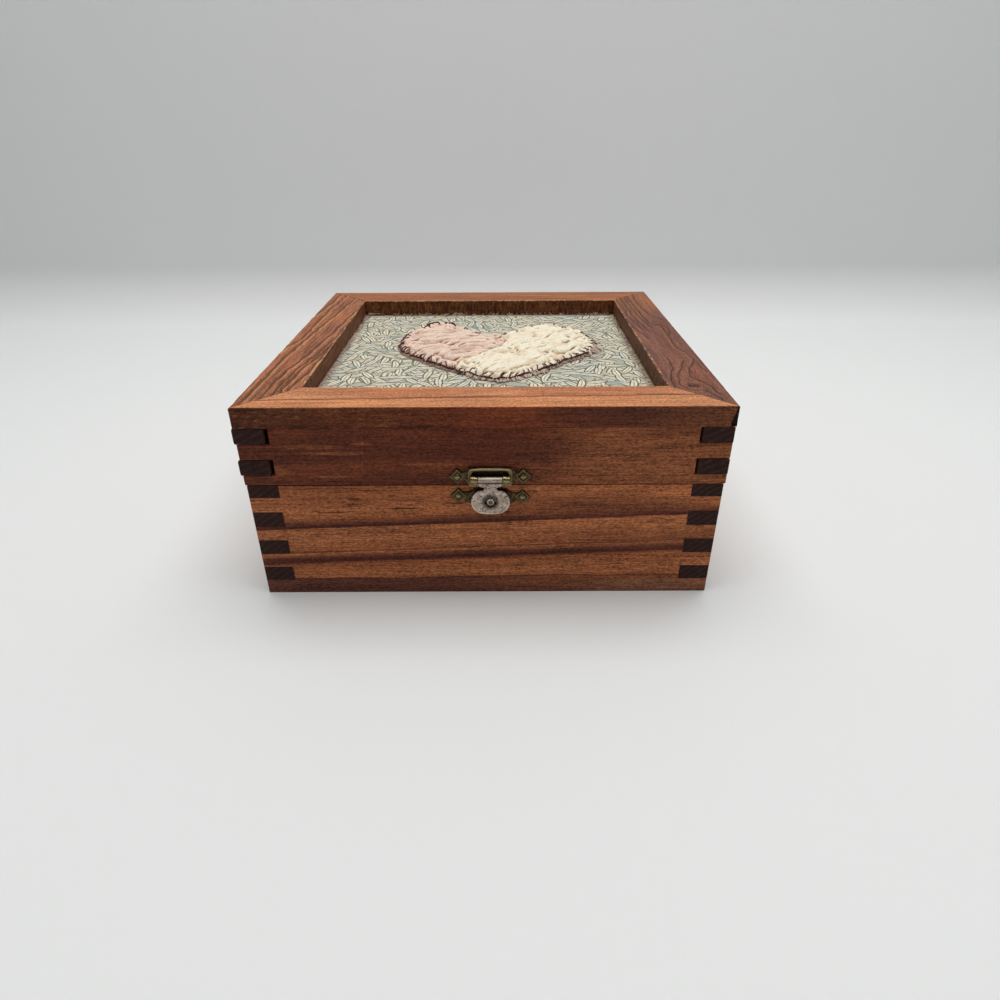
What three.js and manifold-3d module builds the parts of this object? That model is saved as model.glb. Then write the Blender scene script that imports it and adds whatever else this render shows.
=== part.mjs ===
// A wooden keepsake box: a finger-jointed base and a hinged lid sawn from the same
// carcass, a mitred frame round a cloth-covered panel on top with a quilted heart,
// a brass catch on the front and two butt hinges on the back.
// Millimetres, +Z up, front towards -Y, origin at the middle of the underside.

import * as THREE from "three";
import { mergeVertices } from "three/addons/utils/BufferGeometryUtils.js";
import Module from "manifold-3d";

const wasm = await Module();
wasm.setup();

// Carcass: four boards with finger joints, sawn into a base and a lid.
const DEPTH = 203; // outer depth of base and lid, front to back
const BASE_WIDTH = 202.4; // the base is a little narrower than the lid
const LID_WIDTH = 203.8;
const BOARD = 13; // board thickness
const FINGER = 7.2; // height of one finger
const FINGER_COUNT = 12; // fingers in the uncut carcass, long-board fingers first
const SAW_LOSS = 3.7; // wood lost in the cut between base and lid
const BASE_TOP = 56.2;
const LID_GAP = 0.3; // clear gap where the lid rests on the base
const JOINT_FIT = 0.08; // glue line on each face of a finger
const BASE_SOCKET_GAP = 0.25; // sockets are a little longer than the fingers they hold
const LID_SOCKET_GAP = 0.7;
const LID_FINGER_PROUD = 0.6; // side-board fingers stand out of the lid's front and back
const LEFT_BOARD_PROUD = 0.9; // the lid's left board stands out past the long boards

const CARCASS_TOP = FINGER * FINGER_COUNT - SAW_LOSS;
const LID_BOTTOM = BASE_TOP + LID_GAP;

// Panels: a bottom in a groove, and a lid panel in a rabbet under the frame.
const PANEL = 4;
const PANEL_BITE = 5; // how far a panel's edge sits in the boards
const PANEL_FIT = 0.15;
const BOTTOM_RAISE = 3; // underside of the bottom above the table
const CLOTH = 0.4;
const CLOTH_FIT = 0.05;
const LID_PANEL_TOP = CARCASS_TOP - CLOTH - 2 * CLOTH_FIT;

// Mitred frame on top of the lid.
const FRAME_WIDTH = 23.8;
const FRAME_THICK = 9;
const FRAME_OVERHANG = 0.3;
const MITRE_FIT = 0.12;
const CHIP_TOP = 0.8; // broken front right corner: width lost at the top and at the bottom
const CHIP_BOTTOM = 2.2;
const CHIP_DEEP = 1.2;
const FRAME_TOP = CARCASS_TOP + FRAME_THICK;

// Quilted heart, cut by hand: the left lobe is taller and narrower than the right one.
const LEFT_SIDE = [
  [7, 23],
  [-4, 26],
  [-14, 36.5],
  [-23, 47.5],
  [-30, 50.5],
  [-37, 46],
  [-43, 34],
  [-47.5, 18],
  [-45.5, 4],
  [-38, -7],
  [-19, -30.5],
  [-4, -41.6],
  [6.5, -46.8],
].map(([x, y]) => new THREE.Vector2(x, y));
const RIGHT_SIDE = [
  [6.5, -46.8],
  [15, -43.2],
  [25, -35.5],
  [40, -21],
  [52, -8],
  [58, 6],
  [57.5, 22],
  [49, 38],
  [37, 47.5],
  [25, 43],
  [14, 32.5],
  [7, 23],
].map(([x, y]) => new THREE.Vector2(x, y));
const HEART_STEPS = 26; // straight steps along each side
const HEART_EDGE = 2.6; // upright edge
const HEART_CROWN = 2; // rise from the edge to the flat middle
const HEART_SHOULDER = 6; // width over which it rises
const HEART_LIFT = 0.1; // clear of the cloth below
const SEAM_GAP = 0.3;
// The seam runs from the notch between the lobes to the lower left side.
const SEAM = [
  [7, 60],
  [7, 24],
  [4, -4],
  [-16, -40],
  [-27, -60],
].map(([x, y]) => new THREE.Vector2(x, y));

// Catch: a plate with a pinned flap on the lid, a keeper plate with a knob on the base.
const CATCH_X = 2.2;
const CATCH_Z = 60.7;
const KEEPER_Z = 51.3;
const KEEPER_TILT = THREE.MathUtils.degToRad(1.5);
const SHEET = 0.8; // sheet metal
const RIM_WIDE = 1.1;
const RIM_HIGH = 0.95; // pressed rim above the sheet
const FLAP_AXIS_Z = 60;
const FLAP_AXIS_OUT = 2.35; // in front of the wood
const FLAP_BARREL = 1.35;
const FLAP_HALF_BARREL = 5.1;
const FLAP_BACK = 1.95; // back of the flap in front of the wood
const FLAP_THICK = 0.9;
const FLAP_HOLE_Z = 49.2;
const FLAP_HOLE = 2.8; // half diagonal of the four-sided hole
const PIN = 0.6;
const PIN_FIT = 0.08; // running clearance round the catch and hinge pins
const BOSS = 1.6; // bosses that hold the pin
const BOSS_INNER = 5.35;
const BOSS_OUTER = 8.2;
const KNOB = 1.85;
const KNOB_OUT = 1.75; // the knob ends just behind the flap
const KNOB_SEAT = 1.2;

// Round-headed nails.
const NAIL_HEAD = 1.45;
const NAIL_DOME = 0.75;
const NAIL_SHANK = 0.55;
const NAIL_LONG = 6;
const NAIL_FIT = 0.1;

// Butt hinges on the back.
const HINGE_X = 60;
const LEAF_WIDE = 22;
const LEAF_TALL = 12;
const LEAF = 0.9;
const KNUCKLE = 1.9;
const KNUCKLE_OUT = 2; // hinge axis behind the wood
const KNUCKLE_MIDDLE = 7.5; // length of the lid's middle knuckle
const KNUCKLE_GAP = 0.25;
const KNUCKLE_ROOM = 2.3; // leaf edge from the hinge axis beside the other leaf's knuckle
const HINGE_PIN = 0.9;
const HINGE_Z = BASE_TOP + LID_GAP / 2;
const HINGE_NAIL_X = 7;
const HINGE_NAIL_Z = 7.5;

const ROUND = 16; // sides of small round pieces
const FRONT = -DEPTH / 2;
const BACK = DEPTH / 2;

// Finishes.
const finish = (color, roughness, metalness = 0) => ({ color, roughness, metalness });
const BASE_WOOD = finish(0x8a5433, 0.55);
const LID_WOOD = finish(0x6e4029, 0.55);
const FRAME_WOOD = finish(0x9a5f3c, 0.6);
const PLYWOOD = finish(0xa9805a, 0.75);
const PRINTED_COTTON = finish(0xb9bfae, 0.95);
const PINK_COTTON = finish(0xd9b7a8, 0.95);
const CREAM_COTTON = finish(0xe9dfc8, 0.95);
const ANTIQUE_BRASS = finish(0x7d7048, 0.4, 1);
const WORN_NICKEL = finish(0x9c9388, 0.4, 1);

// Solids: three.js geometry as manifolds, to be joined and cut.

function solid(geometry) {
  const bare = geometry.index ? geometry.toNonIndexed() : geometry.clone();
  bare.deleteAttribute("normal");
  bare.deleteAttribute("uv");
  const merged = mergeVertices(bare, 1e-4);
  const vertProperties = merged.attributes.position.array;
  const triVerts = new Uint32Array(merged.index.array);
  return new wasm.Manifold(new wasm.Mesh({ numProp: 3, vertProperties, triVerts }));
}

function geometryOf(body) {
  const { numProp, numVert, vertProperties, triVerts } = body.getMesh();
  const points = new Float32Array(numVert * 3);
  for (let i = 0; i < numVert; i++) {
    points.set(vertProperties.subarray(i * numProp, i * numProp + 3), i * 3);
  }
  const geometry = new THREE.BufferGeometry();
  geometry.setAttribute("position", new THREE.BufferAttribute(points, 3));
  geometry.setIndex(new THREE.BufferAttribute(triVerts, 1));
  return geometry;
}

// A box between two corners.
function block(x0, x1, y0, y1, z0, z1) {
  const box = new THREE.BoxGeometry(x1 - x0, y1 - y0, z1 - z0);
  return solid(box.translate((x0 + x1) / 2, (y0 + y1) / 2, (z0 + z1) / 2));
}

// A round rod along X between x0 and x1.
function rodAlongX(radius, x0, x1, y, z) {
  const rod = new THREE.CylinderGeometry(radius, radius, x1 - x0, ROUND);
  return solid(rod.rotateZ(Math.PI / 2).translate((x0 + x1) / 2, y, z));
}

// An outline in X and Z, raised towards the front from `from` to `to`, measured off the wood.
function raised(shape, from, to) {
  const slab = new THREE.ExtrudeGeometry(shape, {
    depth: to - from,
    bevelEnabled: false,
    curveSegments: 5,
  });
  return solid(slab.translate(0, 0, from).rotateX(Math.PI / 2));
}

const join = (...bodies) => bodies.reduce((whole, body) => whole.add(body));
const cut = (body, ...tools) => tools.reduce((rest, tool) => rest.subtract(tool), body);

const box = new THREE.Group();

function addGroup(parent, x = 0, y = 0, z = 0) {
  const group = new THREE.Group();
  group.position.set(x, y, z);
  parent.add(group);
  return group;
}

function addPiece(parent, name, body, look) {
  const mesh = new THREE.Mesh(geometryOf(body), new THREE.MeshStandardMaterial(look));
  mesh.name = name;
  parent.add(mesh);
  return mesh;
}

// Finger joints.

// Heights of the fingers that belong to the side boards, or to the long boards, within a span.
function fingerSpans(ofSideBoards, low, high, lost) {
  const spans = [];
  for (let i = ofSideBoards ? 1 : 0; i < FINGER_COUNT; i += 2) {
    const bottom = Math.max(i * FINGER - lost, low);
    const top = Math.min((i + 1) * FINGER - lost, high);
    if (top - bottom > JOINT_FIT * 4) spans.push([bottom, top]);
  }
  return spans;
}

// Sockets reach past the board's faces, so the cuts go right through.
const PAST = 2;

// Front or back board: it runs along X, and sockets for the side boards' fingers open at its ends.
function longBoard(carcass, outerFace, innerFace) {
  const { left, right, low, high, lost, socketGap } = carcass;
  const y0 = Math.min(outerFace, innerFace);
  const y1 = Math.max(outerFace, innerFace);
  const socket = BOARD + socketGap;
  const sockets = fingerSpans(true, low, high, lost).flatMap(([bottom, top]) => {
    const z0 = bottom - JOINT_FIT;
    const z1 = top + (top === high ? PAST : JOINT_FIT);
    return [
      block(left - PAST, left + socket, y0 - PAST, y1 + PAST, z0, z1),
      block(right - socket, right + PAST, y0 - PAST, y1 + PAST, z0, z1),
    ];
  });
  return cut(block(left, right, y0, y1, low, high), ...sockets);
}

// Side board: it runs along Y between the outer faces, and gives way to the long boards' fingers.
function sideBoard(carcass, outerFace, innerFace) {
  const { low, high, lost, fingerProud } = carcass;
  const x0 = Math.min(outerFace, innerFace);
  const x1 = Math.max(outerFace, innerFace);
  const reach = DEPTH / 2 + fingerProud;
  const shoulder = DEPTH / 2 - BOARD - JOINT_FIT;
  const sockets = fingerSpans(false, low, high, lost).flatMap(([bottom, top]) => {
    const z0 = bottom - (bottom === low ? PAST : 0);
    return [
      block(x0 - PAST, x1 + PAST, -reach - PAST, -shoulder, z0, top),
      block(x0 - PAST, x1 + PAST, shoulder, reach + PAST, z0, top),
    ];
  });
  return cut(block(x0, x1, -reach, reach, low, high), ...sockets);
}

// The four boards of the base or the lid, each with the same cuts taken out of it.
function carcassBoards(carcass, cuts) {
  const { left, right, leftProud } = carcass;
  const boards = {
    front_board: longBoard(carcass, FRONT, FRONT + BOARD),
    back_board: longBoard(carcass, BACK, BACK - BOARD),
    left_board: sideBoard(carcass, left - leftProud, left + BOARD - leftProud),
    right_board: sideBoard(carcass, right, right - BOARD),
  };
  for (const name in boards) boards[name] = cut(boards[name], ...cuts);
  return boards;
}

// A square panel let into the boards, and the room cut for it.
function panelSlab(width, z0, z1, grow = 0) {
  const x = width / 2 - BOARD + PANEL_BITE + grow;
  const y = DEPTH / 2 - BOARD + PANEL_BITE + grow;
  return block(-x, x, -y, y, z0 - grow, z1 + grow);
}

// A nail that points out along +Y, with the underside of its head at the origin.
function nailBody() {
  const profile = [
    new THREE.Vector2(0, -NAIL_LONG),
    new THREE.Vector2(NAIL_SHANK, -NAIL_LONG),
    new THREE.Vector2(NAIL_SHANK, 0),
  ];
  for (let i = 0; i <= 3; i++) {
    const turn = (i / 3) * (Math.PI / 2);
    const radius = i === 3 ? 0 : NAIL_HEAD * Math.cos(turn);
    profile.push(new THREE.Vector2(radius, NAIL_DOME * Math.sin(turn)));
  }
  return solid(new THREE.LatheGeometry(profile, ROUND));
}

// The hole that a nail's shank goes through, in sheet metal and in wood.
function nailHole({ x, z }, face = 0) {
  const radius = NAIL_SHANK + NAIL_FIT;
  const rod = new THREE.CylinderGeometry(radius, radius, 2 * NAIL_LONG, ROUND);
  return solid(rod.translate(x, face, z));
}

const pierced = (body, places) => cut(body, ...places.map((place) => nailHole(place)));

// Nails through a sheet: `out` is 1 on the back of the box and -1 on its front.
function addNails(parent, names, places, sheet, out) {
  places.forEach(({ x, z }, i) => {
    const mesh = addPiece(parent, names[i], nailBody(), ANTIQUE_BRASS);
    mesh.position.set(x, out * sheet, z);
    mesh.rotation.x = out < 0 ? Math.PI : 0;
  });
}

// Catch and keeper sheet metal.

// Sheet outline: a body with rounded corners, waisted into a diamond at each end.
function sheetOutline({ reach, diamond, body, up, down }) {
  const waist = diamond * 0.45;
  const neck = reach - 2 * diamond + waist;
  const outline = new THREE.Shape();
  outline.moveTo(reach, 0);
  outline.lineTo(reach - diamond, diamond);
  outline.lineTo(neck, waist);
  outline.quadraticCurveTo(body + 0.2, waist, body - 0.5, up);
  outline.lineTo(0.5 - body, up);
  outline.quadraticCurveTo(-body - 0.2, waist, -neck, waist);
  outline.lineTo(diamond - reach, diamond);
  outline.lineTo(-reach, 0);
  outline.lineTo(diamond - reach, -diamond);
  outline.lineTo(-neck, -waist);
  outline.quadraticCurveTo(-body, -down, -body * 0.62, -down);
  outline.lineTo(body * 0.62, -down);
  outline.quadraticCurveTo(body, -down, neck, -waist);
  outline.lineTo(reach - diamond, -diamond);
  outline.closePath();
  return outline;
}

const CATCH_SHEET = { reach: 17.6, diamond: 3.7, body: 9.8, up: 4.2, down: 4.1 };
const KEEPER_SHEET = { reach: 17, diamond: 3.4, body: 7.6, up: 3.3, down: 4.7 };

// A ring that follows a rounded oblong.
function oblongRing(halfWide, up, down, wide) {
  const oblong = (x, top, bottom) => {
    const path = new THREE.Path();
    const corner = Math.min(x, 2.4);
    path.moveTo(x, top - corner);
    path.quadraticCurveTo(x, top, x - corner, top);
    path.lineTo(corner - x, top);
    path.quadraticCurveTo(-x, top, -x, top - corner);
    path.lineTo(-x, corner - bottom);
    path.quadraticCurveTo(-x, -bottom, corner - x, -bottom);
    path.lineTo(x - corner, -bottom);
    path.quadraticCurveTo(x, -bottom, x, corner - bottom);
    path.closePath();
    return path;
  };
  const outer = oblong(halfWide, up, down);
  const ring = new THREE.Shape(outer.getPoints(4));
  ring.holes.push(new THREE.Path(oblong(halfWide - wide, up - wide, down - wide).getPoints(4)));
  return ring;
}

// A square standing on one corner.
function diamondPath(half) {
  const path = new THREE.Shape();
  path.moveTo(half, 0);
  path.lineTo(0, half);
  path.lineTo(-half, 0);
  path.lineTo(0, -half);
  path.closePath();
  return path;
}

function catchPlate() {
  const axis = FLAP_AXIS_Z - CATCH_Z;
  const sheet = raised(sheetOutline(CATCH_SHEET), 0, SHEET);
  const ring = oblongRing(CATCH_SHEET.body - 0.5, CATCH_SHEET.up, CATCH_SHEET.down, RIM_WIDE);
  const rim = raised(ring, SHEET - 0.2, SHEET + RIM_HIGH);
  const bosses = [-1, 1].map((side) => {
    const ends = [side * BOSS_INNER, side * BOSS_OUTER].sort((a, b) => a - b);
    const round = rodAlongX(BOSS, ends[0], ends[1], -FLAP_AXIS_OUT, axis);
    return join(round, block(ends[0], ends[1], -FLAP_AXIS_OUT, -SHEET / 2, axis - BOSS, axis + BOSS));
  });
  const bore = rodAlongX(PIN + PIN_FIT / 3, -BOSS_OUTER, BOSS_OUTER, -FLAP_AXIS_OUT, axis);
  return cut(join(sheet, rim, ...bosses), bore);
}

// The flap's sheet, from its barrel down past a neck to a broad rounded tongue.
function flapOutline() {
  const outline = new THREE.Shape();
  const half = FLAP_HALF_BARREL;
  outline.moveTo(half, 0);
  outline.lineTo(-half, 0);
  outline.lineTo(-half, -2.4);
  outline.quadraticCurveTo(-half + 0.4, -3.1, -2.6, -3.9);
  outline.quadraticCurveTo(-3, -4.7, -5.4, -5.3);
  outline.bezierCurveTo(-8.6, -6.7, -9.4, -12.4, -6.6, -14.8);
  outline.quadraticCurveTo(-4.4, -16.6, 0, -16.6);
  outline.quadraticCurveTo(4.4, -16.6, 6.6, -14.8);
  outline.bezierCurveTo(9.4, -12.4, 8.6, -6.7, 5.4, -5.3);
  outline.quadraticCurveTo(3, -4.7, 2.6, -3.9);
  outline.quadraticCurveTo(half - 0.4, -3.1, half, -2.4);
  outline.closePath();
  return outline;
}

function catchFlap() {
  const sheet = raised(flapOutline(), FLAP_BACK, FLAP_BACK + FLAP_THICK);
  const barrel = rodAlongX(FLAP_BARREL, -FLAP_HALF_BARREL, FLAP_HALF_BARREL, -FLAP_AXIS_OUT, 0);
  const bore = rodAlongX(PIN + PIN_FIT, -BOSS_OUTER, BOSS_OUTER, -FLAP_AXIS_OUT, 0);
  const hole = raised(diamondPath(FLAP_HOLE), 0, 2 * FLAP_BACK + FLAP_THICK);
  const holeInPlace = hole.translate([0, 0, FLAP_HOLE_Z - FLAP_AXIS_Z]);
  return cut(join(sheet, barrel), bore, holeInPlace);
}

const KNOB_DROP = FLAP_HOLE_Z - KEEPER_Z;

// The round knob, a turned rivet with a shallow dome.
function knobBody() {
  const profile = [
    [0, KNOB_SEAT],
    [KNOB * 0.8, KNOB_SEAT],
    [KNOB, KNOB_SEAT + 0.15],
    [KNOB, KNOB_OUT - 0.25],
    [KNOB * 0.75, KNOB_OUT],
    [0, KNOB_OUT],
  ].map(([radius, out]) => new THREE.Vector2(radius, out));
  const lathe = new THREE.LatheGeometry(profile, ROUND);
  return solid(lathe.rotateX(Math.PI));
}

function keeperPlate() {
  const sheet = raised(sheetOutline(KEEPER_SHEET), 0, SHEET);
  const seat = new THREE.Shape().absarc(0, KNOB_DROP, KNOB + 0.6, 0, 2 * Math.PI);
  return join(sheet, raised(seat, SHEET / 2, KNOB_SEAT));
}

// Where a plate's nails go: the middles of its two diamonds.
const nailPlaces = ({ reach, diamond }) => [-1, 1].map((side) => ({ x: side * (reach - diamond), z: 0 }));

// The same places on the box, for a plate turned about its middle.
function onBox(places, z, tilt = 0) {
  return places.map((place) => ({
    x: CATCH_X + place.x * Math.cos(tilt),
    z: z - place.x * Math.sin(tilt),
  }));
}

const catchNails = nailPlaces(CATCH_SHEET);
const keeperNails = nailPlaces(KEEPER_SHEET);

// Hinges.

// One hinge leaf: `side` is 1 for the lid's leaf, above the axis, and -1 for the base's.
function hingeLeaf(side) {
  const half = LEAF_WIDE / 2;
  const middle = KNUCKLE_MIDDLE / 2;
  const outer = middle + KNUCKLE_GAP;
  const knuckles = side > 0 ? [[-middle, middle]] : [[-half, -outer], [outer, half]];
  const plate = (x0, x1, from) => {
    const ends = [side * from, side * LEAF_TALL].sort((a, b) => a - b);
    return block(x0, x1, 0, LEAF, ends[0], ends[1]);
  };
  const webs = knuckles.map(([x0, x1]) => plate(x0, x1, 0));
  const rolls = knuckles.map(([x0, x1]) => rodAlongX(KNUCKLE, x0, x1, KNUCKLE_OUT, 0));
  const bore = rodAlongX(HINGE_PIN + PIN_FIT, -half, half, KNUCKLE_OUT, 0);
  const leaf = join(plate(-half, half, KNUCKLE_ROOM), ...webs, ...rolls);
  return pierced(cut(leaf, bore), hingeNails(side));
}

// Places of one leaf's nails, from the middle of its hinge.
function hingeNails(side) {
  return [-1, 1].map((hand) => ({ x: hand * HINGE_NAIL_X, z: side * HINGE_NAIL_Z }));
}

// Pilot holes in the back boards for the nails of one leaf of every hinge.
function hingePilots(side) {
  return hinges.flatMap((hinge) =>
    hingeNails(side).map(({ x, z }) => nailHole({ x: hinge.x + x, z: HINGE_Z + z }, BACK)),
  );
}

const hinges = [
  { name: "hinge_left", x: -HINGE_X },
  { name: "hinge_right", x: HINGE_X },
];

// Base.

const baseCarcass = {
  left: -BASE_WIDTH / 2,
  right: BASE_WIDTH / 2,
  leftProud: 0,
  low: 0,
  high: BASE_TOP,
  lost: 0,
  socketGap: BASE_SOCKET_GAP,
  fingerProud: 0,
};
const bottomTop = BOTTOM_RAISE + PANEL;
const baseCuts = [
  panelSlab(BASE_WIDTH, BOTTOM_RAISE, bottomTop, PANEL_FIT),
  ...onBox(keeperNails, KEEPER_Z, KEEPER_TILT).map((place) => nailHole(place, FRONT)),
  ...hingePilots(-1),
];
const base = addGroup(box);
for (const [name, body] of Object.entries(carcassBoards(baseCarcass, baseCuts))) {
  addPiece(base, "base_" + name, body, BASE_WOOD);
}
addPiece(base, "bottom_panel", panelSlab(BASE_WIDTH, BOTTOM_RAISE, bottomTop), PLYWOOD);

// Lid.

const lidCarcass = {
  left: -LID_WIDTH / 2,
  right: LID_WIDTH / 2,
  leftProud: LEFT_BOARD_PROUD,
  low: LID_BOTTOM,
  high: CARCASS_TOP,
  lost: SAW_LOSS,
  socketGap: LID_SOCKET_GAP,
  fingerProud: LID_FINGER_PROUD,
};
const lidPanelLow = LID_PANEL_TOP - PANEL;
const lidCuts = [
  panelSlab(LID_WIDTH, lidPanelLow, CARCASS_TOP + PAST, PANEL_FIT),
  ...onBox(catchNails, CATCH_Z).map((place) => nailHole(place, FRONT)),
  ...hingePilots(1),
];
const lid = addGroup(box);
for (const [name, body] of Object.entries(carcassBoards(lidCarcass, lidCuts))) {
  addPiece(lid, "lid_" + name, body, LID_WOOD);
}
addPiece(lid, "lid_panel", panelSlab(LID_WIDTH, lidPanelLow, LID_PANEL_TOP), PLYWOOD);
const clothLow = LID_PANEL_TOP + CLOTH_FIT;
addPiece(lid, "printed_cloth", panelSlab(LID_WIDTH, clothLow, clothLow + CLOTH), PRINTED_COTTON);

// Mitred frame: one side piece, made at the front and turned round the box.

const frameX = LID_WIDTH / 2 + FRAME_OVERHANG;
const frameY = DEPTH / 2 + FRAME_OVERHANG;

// A trapezium between the outer edge and the opening, held back a little at both mitres.
function frameSide(alongHalf, acrossHalf) {
  const outline = new THREE.Shape();
  outline.moveTo(MITRE_FIT - alongHalf, -acrossHalf);
  outline.lineTo(alongHalf - MITRE_FIT, -acrossHalf);
  outline.lineTo(alongHalf - FRAME_WIDTH - MITRE_FIT, FRAME_WIDTH - acrossHalf);
  outline.lineTo(FRAME_WIDTH + MITRE_FIT - alongHalf, FRAME_WIDTH - acrossHalf);
  outline.closePath();
  const bar = new THREE.ExtrudeGeometry(outline, { depth: FRAME_THICK, bevelEnabled: false });
  return solid(bar.translate(0, 0, CARCASS_TOP));
}

// The splinter missing from the frame's front right corner: a wedge, wider at the bottom.
function cornerChip() {
  const wedge = new THREE.Shape();
  wedge.moveTo(frameX - CHIP_TOP, FRAME_TOP + 1);
  wedge.lineTo(frameX - CHIP_BOTTOM, CARCASS_TOP - 1);
  wedge.lineTo(frameX + 1, CARCASS_TOP - 1);
  wedge.lineTo(frameX + 1, FRAME_TOP + 1);
  wedge.closePath();
  const cutter = raised(wedge, -CHIP_DEEP, 1);
  return cutter.translate([0, -frameY, 0]);
}

const frame = addGroup(lid);
const longSide = frameSide(frameX, frameY);
const shortSide = frameSide(frameY, frameX);
addPiece(frame, "frame_front", cut(longSide, cornerChip()), FRAME_WOOD);
addPiece(frame, "frame_right", shortSide, FRAME_WOOD).rotation.z = Math.PI / 2;
addPiece(frame, "frame_back", longSide, FRAME_WOOD).rotation.z = Math.PI;
addPiece(frame, "frame_left", shortSide, FRAME_WOOD).rotation.z = -Math.PI / 2;

// Quilted heart in two patches.

// Heart outline: a smooth curve down each side, between the notch and the tip.
function heartOutline() {
  const down = new THREE.SplineCurve(LEFT_SIDE).getPoints(HEART_STEPS);
  const up = new THREE.SplineCurve(RIGHT_SIDE).getPoints(HEART_STEPS);
  return new THREE.Shape([...down.slice(0, -1), ...up.slice(0, -1)]);
}

function heartBody() {
  const seat = clothLow + CLOTH + HEART_LIFT;
  const pad = new THREE.ExtrudeGeometry(heartOutline(), {
    depth: HEART_EDGE,
    bevelThickness: HEART_CROWN,
    bevelSize: HEART_SHOULDER,
    bevelOffset: -HEART_SHOULDER,
    bevelSegments: 4,
  });
  const under = block(-LID_WIDTH, LID_WIDTH, -DEPTH, DEPTH, -DEPTH, 0);
  return cut(solid(pad), under).translate([0, 0, seat]);
}

// Everything on the left of the seam, moved sideways by half the gap.
function leftOfSeam(shift) {
  const side = new THREE.Shape(SEAM.map((p) => new THREE.Vector2(p.x + shift, p.y)));
  side.lineTo(-DEPTH, SEAM.at(-1).y);
  side.lineTo(-DEPTH, SEAM[0].y);
  side.closePath();
  const slab = new THREE.ExtrudeGeometry(side, { depth: 2 * FRAME_TOP, bevelEnabled: false });
  return solid(slab);
}

const heart = heartBody();
addPiece(lid, "heart_pink_patch", heart.intersect(leftOfSeam(-SEAM_GAP / 2)), PINK_COTTON);
addPiece(lid, "heart_cream_patch", heart.subtract(leftOfSeam(SEAM_GAP / 2)), CREAM_COTTON);

// Catch on the front of the lid, and its keeper, a little crooked, on the base.

const latch = addGroup(lid, CATCH_X, FRONT, CATCH_Z);
addPiece(latch, "catch_plate", pierced(catchPlate(), catchNails), ANTIQUE_BRASS);
addNails(latch, ["catch_nail_left", "catch_nail_right"], catchNails, SHEET, -1);

const flap = addGroup(lid, CATCH_X, FRONT, FLAP_AXIS_Z);
const flapPin = rodAlongX(PIN, -BOSS_OUTER, BOSS_OUTER, -FLAP_AXIS_OUT, 0);
addPiece(flap, "catch_pin", flapPin, ANTIQUE_BRASS);
addPiece(flap, "catch_flap", catchFlap(), WORN_NICKEL);

const keeper = addGroup(base, CATCH_X, FRONT, KEEPER_Z);
keeper.rotation.y = KEEPER_TILT;
addPiece(keeper, "keeper_plate", pierced(keeperPlate(), keeperNails), ANTIQUE_BRASS);
addPiece(keeper, "keeper_knob", knobBody(), WORN_NICKEL).position.z = KNOB_DROP;
addNails(keeper, ["keeper_nail_left", "keeper_nail_right"], keeperNails, SHEET, -1);

// Hinges on the back.

for (const { name, x } of hinges) {
  const hinge = addGroup(box, x, BACK, HINGE_Z);
  const pin = rodAlongX(HINGE_PIN, -LEAF_WIDE / 2, LEAF_WIDE / 2, KNUCKLE_OUT, 0);
  addPiece(hinge, name + "_pin", pin, ANTIQUE_BRASS);
  for (const [leaf, side] of [["base", -1], ["lid", 1]]) {
    const label = [name, leaf].join("_");
    addPiece(hinge, label + "_leaf", hingeLeaf(side), ANTIQUE_BRASS);
    const nailNames = [label + "_nail_left", label + "_nail_right"];
    addNails(hinge, nailNames, hingeNails(side), LEAF, 1);
  }
}

export default box;
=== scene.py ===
"""A wooden keepsake box: finger-jointed base, hinged lid with a cloth panel in a mitred
frame, a quilted heart sewn to the cloth, and a worn brass catch. Lengths are in millimetres
until a mesh is made, with the origin at the middle of the underside and the front at -Y."""

import math

import bmesh
import bpy
import numpy as np
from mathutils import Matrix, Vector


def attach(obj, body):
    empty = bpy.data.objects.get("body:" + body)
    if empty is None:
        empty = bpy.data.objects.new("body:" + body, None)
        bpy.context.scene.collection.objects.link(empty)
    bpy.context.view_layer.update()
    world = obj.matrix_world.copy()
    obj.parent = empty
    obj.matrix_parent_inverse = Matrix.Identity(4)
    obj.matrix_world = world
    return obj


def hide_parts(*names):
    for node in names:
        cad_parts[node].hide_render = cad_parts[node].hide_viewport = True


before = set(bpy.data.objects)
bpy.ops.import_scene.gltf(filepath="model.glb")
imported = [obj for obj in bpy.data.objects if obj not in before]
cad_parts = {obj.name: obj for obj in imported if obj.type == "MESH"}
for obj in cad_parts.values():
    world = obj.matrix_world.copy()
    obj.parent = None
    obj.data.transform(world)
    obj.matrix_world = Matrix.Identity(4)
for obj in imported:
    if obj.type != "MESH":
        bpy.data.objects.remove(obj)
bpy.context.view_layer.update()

# ---- Base boards
# Four half-inch boards of an old resinous wood, finger-jointed and glued, then oiled.
# The front shows long dark growth rings that rise to the right, and the side boards' end
# grain as near-black fingers. Sanding has eased every arris.

MM = 0.001


def rgb(red, green, blue):
    """A colour given in screen steps from 0 to 255, as the linear light that shaders use."""
    c = np.array([red, green, blue]) / 255
    linear = np.where(c <= 0.04045, c / 12.92, ((c + 0.055) / 1.055) ** 2.4)
    return (*linear.tolist(), 1.0)


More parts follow.
